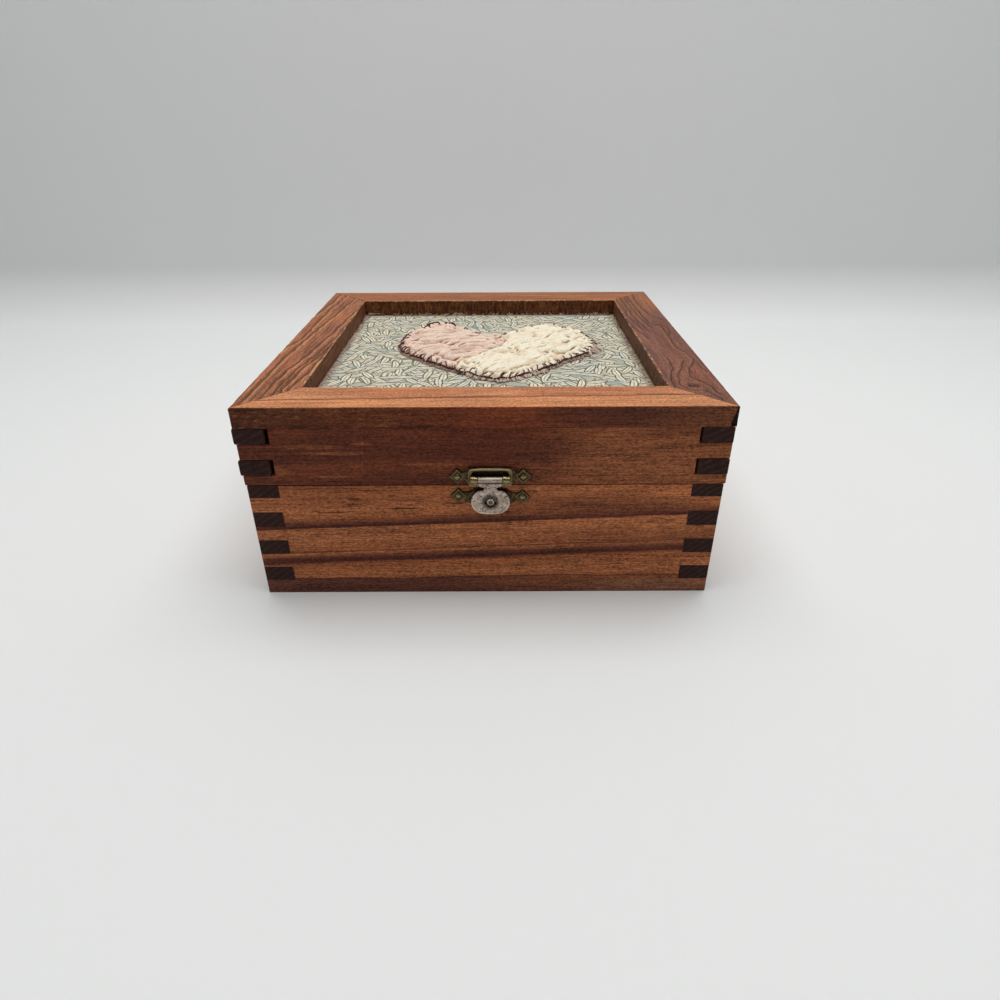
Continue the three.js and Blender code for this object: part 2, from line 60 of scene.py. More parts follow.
class Tone:
    """One number in a finish, which may vary over the surface. Arithmetic on it adds Math nodes."""

    def __init__(self, tree, socket):
        self.tree, self.socket = tree, socket

    def math(self, operation, *others, clamp=False):
        node = self.tree.nodes.new("ShaderNodeMath")
        node.operation, node.use_clamp = operation, clamp
        for socket, value in zip(node.inputs, (self, *others)):
            if isinstance(value, Tone):
                self.tree.links.new(value.socket, socket)
            else:
                socket.default_value = value
        return Tone(self.tree, node.outputs[0])

    def __add__(self, other):
        return self.math("ADD", other)

    def __sub__(self, other):
        return self.math("SUBTRACT", other)

    def __mul__(self, other):
        return self.math("MULTIPLY", other)

    def __truediv__(self, other):
        return self.math("DIVIDE", other)

    def __abs__(self):
        return self.math("ABSOLUTE")

    def flip(self):
        return self.math("MULTIPLY_ADD", -1.0, 1.0)

    def rise(self, low, high):
        """0 below low, 1 above high, and a smooth step between them (low may be the larger)."""
        node = self.tree.nodes.new("ShaderNodeMapRange")
        node.interpolation_type = "SMOOTHSTEP"
        self.tree.links.new(self.socket, node.inputs["Value"])
        forward = low < high
        node.inputs["From Min"].default_value = low if forward else high
        node.inputs["From Max"].default_value = high if forward else low
        node.inputs["To Min"].default_value = 0.0 if forward else 1.0
        node.inputs["To Max"].default_value = 1.0 if forward else 0.0
        return Tone(self.tree, node.outputs["Result"])

    def line(self, half, soft):
        """1 where the tone is within half of zero, falling to 0 over soft on both sides."""
        return abs(self).rise(half + soft, half)


class Finish:
    """A material in the making: a Principled shader, and the surface point in millimetres."""

    def __init__(self, name, roughness, metallic=0.0, sheen=0.0, specular=0.25):
        self.material = bpy.data.materials.new(name)
        self.material.use_nodes = True
        self.tree = self.material.node_tree
        self.shader = self.tree.nodes["Principled BSDF"]
        self.shader.inputs["Roughness"].default_value = roughness
        self.shader.inputs["Metallic"].default_value = metallic
        self.shader.inputs["Sheen Weight"].default_value = sheen
        self.shader.inputs["Specular IOR Level"].default_value = specular
        place = self.tree.nodes.new("ShaderNodeTexCoord")
        self.point = self.scaled(place.outputs["Object"], (1 / MM,) * 3)
        split = self.tree.nodes.new("ShaderNodeSeparateXYZ")
        self.tree.links.new(self.point, split.inputs[0])
        self.xyz = [Tone(self.tree, socket) for socket in split.outputs]

    def scaled(self, vector, factors, shift=(0.0, 0.0, 0.0)):
        node = self.tree.nodes.new("ShaderNodeVectorMath")
        node.operation = "MULTIPLY_ADD"
        self.tree.links.new(vector, node.inputs[0])
        node.inputs[1].default_value = factors
        node.inputs[2].default_value = shift
        return node.outputs[0]

    def noise(self, size, seed=0, detail=2.0, rough=0.5):
        """Cloudy noise from 0 to 1 whose lumps measure size millimetres along X, Y and Z."""
        size = size if hasattr(size, "__len__") else (size,) * 3
        node = self.tree.nodes.new("ShaderNodeTexNoise")
        vector = self.scaled(self.point, [1 / s for s in size], (seed * 7.31, seed * 3.7, seed * 5.9))
        self.tree.links.new(vector, node.inputs["Vector"])
        node.inputs["Scale"].default_value = 1.0
        node.inputs["Detail"].default_value = detail
        node.inputs["Roughness"].default_value = rough
        return Tone(self.tree, node.outputs["Fac"])

    def value(self, name):
        """A number that the mesh carries at its points."""
        node = self.tree.nodes.new("ShaderNodeAttribute")
        node.attribute_name = name
        return Tone(self.tree, node.outputs["Fac"])

    def ramp(self, tone, stops):
        """Colours blended along a tone, from stops of (tone, colour)."""
        low, high = stops[0][0], stops[-1][0]
        node = self.tree.nodes.new("ShaderNodeValToRGB")
        self.tree.links.new(((tone - low) / (high - low)).socket, node.inputs[0])
        elements = node.color_ramp.elements
        elements[1].position = 1.0
        for level, _ in stops[1:-1]:
            elements.new((level - low) / (high - low))
        for element, (_, colour) in zip(elements, stops):
            element.color = colour
        return node.outputs["Color"]

    def mix(self, amount, under, over, mode="MIX"):
        """Colour over laid on colour under by amount; each is a socket or a fixed colour."""
        node = self.tree.nodes.new("ShaderNodeMix")
        node.data_type, node.blend_type = "RGBA", mode
        for index, value in ((0, amount), (6, under), (7, over)):
            value = value.socket if isinstance(value, Tone) else value
            if isinstance(value, bpy.types.NodeSocket):
                self.tree.links.new(value, node.inputs[index])
            else:
                node.inputs[index].default_value = value
        return node.outputs[2]

    def spot(self, centre, radii, axes=(0, 2)):
        """An oval patch on a face: 1 in the middle, falling as the square of the distance."""
        u = (self.xyz[axes[0]] - centre[0]) / radii[0]
        v = (self.xyz[axes[1]] - centre[1]) / radii[1]
        return (u * u + v * v).math("MULTIPLY_ADD", -1.0, 1.0, clamp=True)

    def coat(self, colour, relief=None, height=0.0, roughness=None):
        """Joins the colour, the relief in millimetres and the roughness to the shader."""
        self.tree.links.new(colour, self.shader.inputs["Base Color"])
        if roughness is not None:
            self.tree.links.new(roughness.socket, self.shader.inputs["Roughness"])
        if relief is not None:
            bump = self.tree.nodes.new("ShaderNodeBump")
            bump.inputs["Strength"].default_value = 1.0
            bump.inputs["Distance"].default_value = height * MM
            self.tree.links.new(relief.socket, bump.inputs["Height"])
            self.tree.links.new(bump.outputs["Normal"], self.shader.inputs["Normal"])
        return self.material


def long_grain(finish, colour, along, seed, dark, flecks=0.5):
    """What all the boards share: fibres, short dark flecks, slow clouds and a fine tooth. It gives the
    coat of the finish."""
    size = lambda run, width: [run if axis == along else width for axis in range(3)]
    fibre = finish.noise(size(26, 0.6), seed, detail=3.0, rough=0.7)
    fleck = finish.noise(size(6.0, 0.5), seed + 1, detail=2.0, rough=0.6)
    cloud = finish.noise(size(34, 8), seed + 2)
    tooth = finish.noise(size(1.2, 0.5), seed + 3, detail=1.0)
    colour = finish.mix(fleck.rise(0.5, 0.7) * flecks, colour, dark)
    shade = (fibre * 2.0 + cloud * 0.7 + tooth * 2.2 - 1.41).math("MAXIMUM", 0.3)
    colour = finish.mix(1.0, colour, shade, "MULTIPLY")
    return finish.coat(colour, fibre - fleck.rise(0.52, 0.7) * 0.5 + tooth * 0.3, 0.11, cloud * 0.3 + 0.4)


def oiled_wood(name, along, across, rings, slope=0.0, wander=1.5, seed=0, details=None, dark=None):
    """Long grain: ring colours by the height across the grain, which follows a slope and a slow
    wander. details lays the board's own marks on it, before the fibres and flecks."""
    finish = Finish(name, roughness=0.55, specular=0.12)
    run = [110 if axis == along else 26 for axis in range(3)]
    level = finish.xyz[across] - finish.xyz[along] * slope + (finish.noise(run, seed) - 0.5) * (2 * wander)
    fine = [40 if axis == along else 3.5 for axis in range(3)]
    level = level + (finish.noise(fine, seed + 5) - 0.5) * 1.2
    colour = finish.ramp(level, rings)
    if details:
        colour = details(finish, colour)
    return long_grain(finish, colour, along, seed + 11, dark or rgb(84, 42, 28))


def end_grain(name, lean, seed=0, tint=rgb(52, 33, 29)):
    """Cut ends: near black where they drank the oil, with slanting ring lines and open pores."""
    finish = Finish(name, roughness=0.7, specular=0.12)
    x, y, z = finish.xyz
    sway = finish.noise(9, seed) - 0.5
    ring = (z - (x + y) * lean + sway * 3.0) / 3.2
    line = (ring.math("FRACT") - 0.5).line(0.08, 0.25)
    grit = finish.noise(0.6, seed + 1, detail=3.0, rough=0.7)
    colour = finish.mix(line * grit.rise(0.35, 0.65) * 0.32, tint, rgb(104, 70, 60))
    colour = finish.mix(1.0, colour, grit * 1.5 + finish.noise(4, seed + 2) * 0.8 - 0.15, "MULTIPLY")
    return finish.coat(colour, grit + line * 0.4, 0.22)


def eased_board(node, name, ease, along, finishes, body):
    """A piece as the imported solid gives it, with rounded arrises. A board takes its second finish on
    its cut ends, and a metal piece, which has no grain to run along, on its rubbed arrises."""
    solid = bmesh.new()
    solid.from_mesh(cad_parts[node].data)
    bmesh.ops.remove_doubles(solid, verts=solid.verts, dist=0.002 * MM)
    bmesh.ops.dissolve_limit(solid, angle_limit=math.radians(2), verts=solid.verts, edges=solid.edges)
    for face in solid.faces:
        face.material_index = int(abs(face.normal[along]) > 0.8) if along is not None and len(finishes) > 1 else 0
        face.smooth = True
    mesh = bpy.data.meshes.new(name)
    solid.to_mesh(mesh)
    solid.free()
    board = bpy.data.objects.new(name, mesh)
    bpy.context.scene.collection.objects.link(board)
    for finish in finishes:
        mesh.materials.append(finish)
    bevel = board.modifiers.new("eased arrises", "BEVEL")
    bevel.width, bevel.segments = ease * MM, 3
    bevel.limit_method, bevel.angle_limit = "ANGLE", math.radians(40)
    bevel.harden_normals = True
    bevel.material = 1 if along is None and len(finishes) > 1 else -1
    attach(board, body)
    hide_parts(node)
    return board


HONEY, AMBER, UMBER = rgb(186, 114, 72), rgb(168, 99, 61), rgb(112, 62, 43)
DARK_RING, STRIP = rgb(84, 42, 34), rgb(108, 64, 52)


def base_front_marks(finish, colour):
    """Marks on the front: the dark bottom strip, two small knots with their tails, shaded fields on
    the right, and a duskier upper left."""
    x, _, z = finish.xyz
    edge = z - 7.7 + (finish.noise((38, 38, 12), 31) - 0.5) * 3.4 - x.rise(-60, 0) * 1.6
    strip = edge.rise(0.5, -0.4) * x.rise(70, -30).math("MULTIPLY_ADD", 0.78, 0.14)
    slant = ((z * 1.7 - x * 0.55 + finish.noise(6, 33) * 3) / 2.6).math("FRACT").rise(0.4, 0.95)
    colour = finish.mix(strip, colour, finish.mix(slant * 0.5, STRIP, rgb(66, 38, 34)))
    colour = finish.mix(edge.line(0.12, 0.6) * 0.6, colour, DARK_RING)
    for centre, radii, depth in (((46, 46.5), (52, 7.5), 0.75), ((78, 29), (50, 6.5), 0.5), ((30, 33), (46, 4), 0.3)):
        colour = finish.mix(finish.spot(centre, radii) * depth, colour, rgb(118, 66, 46))
    for centre, radii in (((-56, 49.4), (4.6, 1.0)), ((-57.8, 46.9), (4.4, 0.55)), ((-40, 51.3), (2.6, 0.8)),
                          ((-35, 45), (9, 0.5)), ((-14, 47.5), (7, 0.5)), ((-66, 43), (9, 0.45)), ((8, 43), (8, 0.4))):
        ragged = finish.spot(centre, radii) * (finish.noise((2.4, 2.4, 0.8), 35) * 2.2)
        colour = finish.mix(ragged.rise(0.1, 0.9) * 0.85, colour, rgb(66, 32, 24))
    dusk = finish.spot((-60, 53), (60, 9)) * 0.45
    colour = finish.mix(dusk, colour, rgb(128, 70, 42))
    return finish.mix(finish.spot((76, 3), (44, 7)) * 0.5, colour, rgb(150, 108, 86))


base_front_wood = oiled_wood(
    "oiled front board", 0, 2,
    [(-6, STRIP), (6, AMBER), (12, HONEY), (18.4, AMBER), (19.7, UMBER), (19.9, DARK_RING), (20.9, DARK_RING),
     (22.4, UMBER), (24.4, HONEY), (25.2, UMBER), (25.6, AMBER), (31, HONEY), (37.6, HONEY), (37.9, DARK_RING),
     (38.7, DARK_RING), (40.0, UMBER), (43, AMBER), (47, HONEY), (62, AMBER)],
    slope=0.039, wander=0.5, seed=4, details=base_front_marks,
)
base_plain_wood = oiled_wood(
    "oiled back board", 0, 2,
    [(-4, UMBER), (5, AMBER), (13, HONEY), (14, UMBER), (17, AMBER), (29, HONEY), (30, DARK_RING), (33, AMBER),
     (44, HONEY), (45, UMBER), (48, AMBER), (62, HONEY)],
    slope=-0.03, wander=2.2, seed=14,
)
base_side_wood = oiled_wood(
    "oiled side boards", 1, 2,
    [(-6, HONEY), (3, AMBER), (9, UMBER), (10, HONEY), (22, AMBER), (25, DARK_RING), (26, HONEY), (38, AMBER),
     (42, UMBER), (43, HONEY), (54, AMBER), (64, UMBER)],
    slope=0.05, wander=2.6, seed=24,
)
base_ends = end_grain("dark end grain", 0.75, 2)
eased_board("base_front_board", "front_board_of_base", 0.35, 0, [base_front_wood, base_ends], "base")
eased_board("base_back_board", "back_board_of_base", 0.35, 0, [base_plain_wood, base_ends], "base")
eased_board("base_left_board", "left_board_of_base", 0.35, 1, [base_side_wood, base_ends], "base")
eased_board("base_right_board", "right_board_of_base", 0.35, 1, [base_side_wood, base_ends], "base")

# ---- Bottom and lid panels
# Two thin plywood panels with a plain sanded face: the bottom sits in a groove in the base
# boards, and the lid panel lies in a rabbet under the cloth.

PLY = rgb(186, 146, 102)
plywood = oiled_wood(
    "sanded plywood", 0, 1,
    [(-100, PLY), (-60, rgb(176, 134, 92)), (-20, PLY), (15, rgb(170, 128, 88)), (55, PLY), (100, rgb(178, 138, 96))],
    slope=0.08, wander=9, seed=34,
)
eased_board("bottom_panel", "plywood_bottom", 0.2, 0, [plywood], "base")
eased_board("lid_panel", "plywood_lid_panel", 0.2, 0, [plywood], "lid")

# ---- Lid boards
# The top of the same carcass, sawn off it: darker red-brown on the left of the front and
# paler on the right. The left board's fingers stand proud, with softer corners and a gap.

RUSSET, MAHOGANY, TAN = rgb(120, 61, 38), rgb(104, 51, 33), rgb(158, 95, 60)


def lid_front_marks(finish, colour):
    """Marks on the lid's front: the paler right half, light streaks on the left, a shade below
    the frame in the middle, a faint upright scratch and one oval ring on the right."""
    x, _, z = finish.xyz
    pale = (x + (finish.noise((34, 34, 7), 41) - 0.5) * 70 + (z - 70) * -0.9).rise(2, 62)
    colour = finish.mix(pale * 0.95, colour, TAN)
    for centre, radii in (((-72, 74.2), (17, 1.7)), ((-62, 71.3), (20, 1.2)), ((-50, 75.6), (9, 0.7)),
                          ((-64, 60.4), (14, 0.8)), ((-88, 63), (10, 3.5)), ((-20, 66), (18, 1.2))):
        streak = finish.spot(centre, radii) * (finish.noise((5, 5, 0.7), 43, detail=3.0) * 2)
        colour = finish.mix(streak.rise(0.1, 1.2) * 0.42, colour, rgb(172, 108, 66))
    for centre, radii in (((54, 58), (14, 0.45)), ((18, 73), (34, 7)), ((75, 80), (24, 3))):
        colour = finish.mix(finish.spot(centre, radii) * 0.5, colour, rgb(88, 44, 30))
    ring = (finish.spot((51, 76.5), (5.4, 2.1)) - 0.3).line(0.05, 0.3)
    colour = finish.mix(ring * finish.noise(2.5, 47) * 0.3, colour, rgb(196, 136, 96))
    scratch = (x + 51 - (z - 67) * 0.1).line(0.05, 0.2) * finish.noise((3, 3, 5), 45).rise(0.4, 0.6)
    return finish.mix(scratch * 0.22, colour, rgb(190, 130, 96))


def joint_glue_and_shade(finish, colour):
    """Old glue and dirt, with painted shade in the gaps, darken the sides of the fingers inside the joints."""
    x, y, _ = finish.xyz
    inside = abs(x).rise(101.2, 100.4) * abs(y).rise(88, 89)
    return finish.mix(inside * 0.9, colour, rgb(52, 32, 26))


lid_front_wood = oiled_wood(
    "oiled lid front", 0, 2,
    [(52, RUSSET), (58, MAHOGANY), (66, RUSSET), (70, MAHOGANY), (78, MAHOGANY), (86, RUSSET)],
    slope=0.02, wander=1.6, seed=44, details=lid_front_marks, dark=rgb(70, 32, 22),
)
lid_plain_wood = oiled_wood(
    "oiled lid back", 0, 2,
    [(52, TAN), (59, RUSSET), (61, TAN), (70, RUSSET), (72, MAHOGANY), (73, TAN), (86, RUSSET)],
    slope=-0.03, wander=2.0, seed=54,
)
lid_side_wood = oiled_wood(
    "oiled lid sides", 1, 2,
    [(50, RUSSET), (57, TAN), (64, RUSSET), (65, MAHOGANY), (67, TAN), (77, RUSSET), (88, TAN)],
    slope=0.05, wander=2.4, seed=64, details=joint_glue_and_shade,
)
lid_ends = end_grain("dark lid end grain", 0.5, 6)
eased_board("lid_front_board", "front_board_of_lid", 0.35, 0, [lid_front_wood, lid_ends], "lid")
eased_board("lid_back_board", "back_board_of_lid", 0.35, 0, [lid_plain_wood, lid_ends], "lid")
eased_board("lid_left_board", "left_board_of_lid", 0.9, 1, [lid_side_wood, lid_ends], "lid")
eased_board("lid_right_board", "right_board_of_lid", 0.5, 1, [lid_side_wood, lid_ends], "lid")

# ---- Printed cloth
# A square of cream cotton printed with small blue-grey leaves, laid on the panel and held all
# round by the frame. Its threads lift a little, and the cloth turns darker and browner towards the frame.

CLOTH_SIDE = (187.8, 187.0)
CLOTH_TOP = 82.55


def smooth_noise(x, y, seed):
    """Random heights from 0 to 1 on a unit lattice, joined by cubic steps."""
    xi, yi = np.floor(x).astype(np.int64), np.floor(y).astype(np.int64)
    fx, fy = x - xi, y - yi
    fx, fy = fx * fx * (3 - 2 * fx), fy * fy * (3 - 2 * fy)

    def corner(dx, dy):
        h = ((xi + dx) * 73856093) ^ ((yi + dy) * 19349663) ^ (seed * 83492791)
        h = h & 0xFFFFFFFF
        h = ((h ^ (h >> 13)) * 1274126177) & 0xFFFFFFFF
        return ((h ^ (h >> 16)) & 0xFFFF) / 65535

    near = corner(0, 0) * (1 - fx) + corner(1, 0) * fx
    far = corner(0, 1) * (1 - fx) + corner(1, 1) * fx
    return near * (1 - fy) + far * fy


def grid_faces(rows, columns, round_rows=False, round_columns=False):
    """Quads between neighbours of a grid of points, joined back to its start where it is round."""
    i, j = np.meshgrid(
        np.arange(rows if round_rows else rows - 1),
        np.arange(columns if round_columns else columns - 1),
        indexing="ij",
    )
    i2, j2 = (i + 1) % rows, (j + 1) % columns
    return np.stack([i * columns + j, i2 * columns + j, i2 * columns + j2, i * columns + j2], -1).reshape(-1, 4)


def add_piece(name, points, faces, finishes, body, slot, stands_for=(), kinds=None, outward=True, **values):
    """Puts points in millimetres and faces into a mesh, with numbers carried at the points."""
    mesh = bpy.data.meshes.new(name)
    mesh.from_pydata((points * MM).tolist(), [], faces if isinstance(faces, list) else faces.tolist())
    for label, numbers in values.items():
        layer = mesh.attributes.new(label, "FLOAT", "POINT")
        layer.data.foreach_set("value", np.ascontiguousarray(numbers, np.float32).ravel())
    if outward:
        shell = bmesh.new()
        shell.from_mesh(mesh)
        bmesh.ops.recalc_face_normals(shell, faces=shell.faces)
        shell.to_mesh(mesh)
        shell.free()
    mesh.polygons.foreach_set("use_smooth", np.ones(len(mesh.polygons), bool))
    for finish in finishes:
        mesh.materials.append(finish)
    if kinds is not None:
        mesh.polygons.foreach_set("material_index", np.asarray(kinds, np.int32))
    mesh.update()
    piece = bpy.data.objects.new(name, mesh)
    bpy.context.scene.collection.objects.link(piece)
    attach(piece, body)
    for node in stands_for:
        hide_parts(node)
    return piece


def laid_cloth(columns=150, rows=150):
    """A flat grid over the panel, lifted by slow waves and by finer puckers of its threads."""
    x, y = np.meshgrid(
        np.linspace(-CLOTH_SIDE[0] / 2, CLOTH_SIDE[0] / 2, columns),
        np.linspace(-CLOTH_SIDE[1] / 2, CLOTH_SIDE[1] / 2, rows),
    )
    lift = 0.1 * (smooth_noise(x / 17, y / 17, 3) - 0.5) + 0.05 * (smooth_noise(x / 3, y / 3, 5) - 0.5)
    points = np.stack([x, y, CLOTH_TOP + lift], -1).reshape(-1, 3)
    return points, grid_faces(rows, columns)


def leaf_layer(finish, apart, long, wide, seed):
    """Leaves scattered apart from each other, one to a cell, each turned with a slow flow and a share of
    chance. A leaf is the space between two arcs, bent along its rib. Gives how far inside the leaf
    a point is, and the distance from its rib in half widths."""
    tree = finish.tree
    at = finish.scaled(finish.point, (1 / apart, 1 / apart, 0.0), (seed * 3.1, seed * 1.7, 0.0))
    cells = tree.nodes.new("ShaderNodeTexVoronoi")
    cells.voronoi_dimensions = "2D"
    cells.inputs["Scale"].default_value = 1.0
    cells.inputs["Randomness"].default_value = 0.8
    tree.links.new(at, cells.inputs["Vector"])
    away = tree.nodes.new("ShaderNodeVectorMath")
    away.operation = "SUBTRACT"
    tree.links.new(at, away.inputs[0])
    tree.links.new(cells.outputs["Position"], away.inputs[1])
    offset, chance = tree.nodes.new("ShaderNodeSeparateXYZ"), tree.nodes.new("ShaderNodeSeparateColor")
    tree.links.new(away.outputs[0], offset.inputs[0])
    tree.links.new(cells.outputs["Color"], chance.inputs[0])
    flow = tree.nodes.new("ShaderNodeTexNoise")
    flow.inputs["Scale"].default_value = 0.22
    flow.inputs["Detail"].default_value = 0.0
    tree.links.new(cells.outputs["Position"], flow.inputs["Vector"])
    u, v = Tone(tree, offset.outputs[0]) * apart, Tone(tree, offset.outputs[1]) * apart
    own, own_2 = Tone(tree, chance.outputs[0]), Tone(tree, chance.outputs[1])
    turn = Tone(tree, flow.outputs["Fac"]) * 11.0 + own * 2.2
    c, s = turn.math("COSINE"), turn.math("SINE")
    along = (u * c + v * s) / long
    across = (v * c - u * s) / wide + (along * along) * (own_2 - 0.5) * 1.6
    inside = (along * along + abs(across)).flip()
    return inside, across


def leaf_print():
    """Cotton print: three layers of small leaves, all filled pale and outlined in ink with a rib each, on a
    ground from blue-grey to cream; over them a weave, a rubbed and paler nap in patches, and a darker
    brown towards the frame."""
    finish = Finish("leaf-printed cotton", roughness=0.95, sheen=0.1, specular=0.1)
    hue = finish.noise(18, 74)
    ground = finish.ramp(hue, [(0.32, rgb(172, 186, 180)), (0.5, rgb(198, 198, 178)), (0.68, rgb(210, 204, 172))])
    tint = finish.noise(7, 75)
    pale = finish.ramp(tint, [(0.3, rgb(230, 230, 218)), (0.5, rgb(247, 239, 216)), (0.7, rgb(252, 243, 212))])
    ink = finish.ramp(hue, [(0.32, rgb(56, 76, 80)), (0.5, rgb(64, 75, 72)), (0.68, rgb(80, 77, 60))])
    colour = ground
    for apart, long, wide, seed, fill, line in ((9.0, 9.4, 2.7, 1.0, pale, 0.8), (7.6, 8.0, 2.2, 2.0, pale, 0.9),
                                                (10.0, 8.4, 2.1, 3.0, pale, 0.95)):
        inside, across = leaf_layer(finish, apart, long, wide, seed)
        colour = finish.mix(inside.rise(0.0, 0.1) * 0.9, colour, fill)
        colour = finish.mix((inside - 0.1).line(0.1, 0.12) * line, colour, ink)
        rib = across.line(0.06, 0.1) * inside.rise(0.1, 0.3)
        colour = finish.mix(rib * (0.7 * line), colour, ink)
    worn = finish.noise(1.4, 73, detail=3.0, rough=0.7)
    colour = finish.mix(worn.rise(0.54, 0.76) * 0.35, colour, rgb(232, 224, 202))
    # Darker and browner towards the frame all round.
    rim = abs(finish.xyz[0]).math("MAXIMUM", abs(finish.xyz[1])) + finish.noise(3, 76) * 5
    colour = finish.mix(rim.rise(75.5, 81) * 0.7, colour, rgb(168, 146, 128))
    warp = (finish.xyz[0] * (2 * math.pi / 0.42)).math("SINE")
    weft = (finish.xyz[1] * (2 * math.pi / 0.42)).math("SINE")
    weave = warp * weft * 0.5 + worn
    colour = finish.mix(1.0, colour, worn * 0.8 + 0.56, "MULTIPLY")
    return finish.coat(colour, weave, 0.14)


cloth_points, cloth_faces = laid_cloth()
cloth = add_piece("printed_cotton_square", cloth_points, cloth_faces, [leaf_print()], "lid", "printed_cotton",
                  ["printed_cloth"], outward=False)

# ---- Frame
# Four mitred bars glued on top of the lid. The two sides are weathered, so that the growth rings
# stand as steps with dark lines; the right one has a knot by the front corner, where a splinter is
# missing from the front bar.

FRAME_HALF_X, FRAME_HALF_Y = 102.2, 101.8
FRAME_LOW, FRAME_THICK, FRAME_WIDE, MITRE_GAP = 82.7, 9.0, 23.8, 0.12


def through(points, apart=0.45, steps=400):
    """A smooth curve through points: on each span, a cubic whose end slopes suit the neighbours.
    It is then spaced evenly along its length, about apart from point to point."""
    p = np.asarray(points, float)
    q = np.vstack([2 * p[0] - p[1], p, 2 * p[-1] - p[-2]])
    u = np.linspace(0, len(p) - 1, steps)
    i = np.minimum(u.astype(int), len(p) - 2)
    f = (u - i)[:, None]
    a, b, c, d = q[i], q[i + 1], q[i + 2], q[i + 3]
    curve = 0.5 * (2 * b + (c - a) * f + (2 * a - 5 * b + 4 * c - d) * f**2 + (3 * b - a - 3 * c + d) * f**3)
    run = np.concatenate([[0], np.cumsum(np.hypot(*np.diff(curve, axis=0).T))])
    even = np.linspace(0, run[-1], max(int(run[-1] / apart), 3))
    return np.stack([np.interp(even, run, curve[:, 0]), np.interp(even, run, curve[:, 1])], -1)


def off_lines(spots, lines):
    """How far each spot is from the nearest ring line, and less than nothing on the line's left. A line
    is a curve cut into short straights, and the distance is to the nearest of them."""
    nearest = np.full(len(spots), 99.0)
    rows = np.arange(len(spots))
    for line in lines:
        curve = through(line, 3.0)
        run = np.diff(curve, axis=0)
        off = spots[:, None] - curve[:-1]
        share = np.clip((off * run).sum(-1) / (run * run).sum(-1), 0, 1)
        far = np.linalg.norm(off - share[..., None] * run, axis=-1)
        pick = far.argmin(1)
        side = np.sign(run[pick, 1] * off[rows, pick, 0] - run[pick, 0] * off[rows, pick, 1])
        far = far[rows, pick]
        nearest = np.where(far < np.abs(nearest), far * np.where(side == 0, 1, side), nearest)
    return nearest


def side_of(long, w, h, hand):
    """Turns points of a bar made along X, measured in from its outer edge, to its side of the box."""
    z = FRAME_LOW + h
    if hand == "front":
        return np.stack([long, w - FRAME_HALF_Y, z], -1)
    if hand == "back":
        return np.stack([-long, FRAME_HALF_Y - w, z], -1)
    if hand == "right":
        return np.stack([FRAME_HALF_X - w, long, z], -1)
    return np.stack([w - FRAME_HALF_X, -long, z], -1)


def frame_bar(hand, half_long, lines, wide, fine, relief, seed):
    """A rounded oblong carried along the bar and cut back at both ends to the mitres. Each point is
    raised off its face beside a ring line and cut in along it, times relief. wide is the half width of a
    line, and fine the strength of the thinner lines between."""
    r = 0.6
    turn = np.linspace(0, np.pi / 2, 5)
    side = np.linspace(0.15, FRAME_THICK - r, 12)
    top = np.linspace(r, FRAME_WIDE - r, 92)[1:-1]
    under = np.linspace(FRAME_WIDE - 0.15, 0.15, 6)
    across = np.concatenate([0 * side, r - r * np.cos(turn[1:]), top, FRAME_WIDE - r + r * np.sin(turn),
                             0 * side[:-1] + FRAME_WIDE, under])
    up = np.concatenate([side, FRAME_THICK - r + r * np.sin(turn[1:]), 0 * top + FRAME_THICK,
                         FRAME_THICK - r + r * np.cos(turn), side[::-1][1:], 0 * under])
    out_w, out_h = -np.gradient(up), np.gradient(across)
    size = np.hypot(out_w, out_h)
    station = np.linspace(-1, 1, 320)[:, None]
    w, h = across + 0 * station, up + 0 * station
    long = station * (half_long - w - MITRE_GAP)
    flat = side_of(long, w, h, hand).reshape(-1, 3)
    sway = np.stack([smooth_noise(flat[:, 0] / 5, flat[:, 1] / 5, seed + k) - 0.5 for k in (1, 2)], -1)
    lean = (flat[:, 2:] - FRAME_LOW - FRAME_THICK) * np.array([[0.35, 0.15]])
    off = off_lines(flat[:, :2] + lean + 1.1 * sway, lines).reshape(w.shape)
    on_top = np.where(h > FRAME_THICK - 1.5, 1.0, 0.35)
    between = np.exp(-(((np.abs(off) % 1.9 - 0.95) / 0.3) ** 2)) * smooth_noise(long / 9, off / 3, seed + 3)
    line = np.maximum(np.exp(-((off / wide) ** 2)), fine * between) * on_top
    # The raised step beside each ring line; the finish also paints a highlight on it.
    flank = np.exp(-(((off - 1.1) / 0.8) ** 2)) * on_top
    rough = smooth_noise(long / 6 + seed, (w + h) / 0.9, seed) - 0.5
    lift = relief * (0.8 * flank - line - 0.3) + 0.05 * rough - 0.05
    lift = np.where(h < 0.05, 0.0, lift)
    w, h = w + lift * out_w / size, h + lift * out_h / size
    if hand == "front":
        lost = np.interp(h, [0, FRAME_THICK], [2.2, 0.8]) * np.clip(1 - w / 1.3, 0, 1)
        long = np.minimum(long, half_long - MITRE_GAP - lost * (0.8 + 0.5 * smooth_noise(h / 1.6, w, 9)))
    rows, columns = w.shape
    faces = grid_faces(rows, columns, round_columns=True).tolist()
    faces += [list(range(columns)), list(range((rows - 1) * columns, rows * columns))]
    kinds = np.zeros(len(faces), np.int32)
    kinds[-2:] = 1
    return side_of(long, w, h, hand).reshape(-1, 3), faces, kinds, line, flank


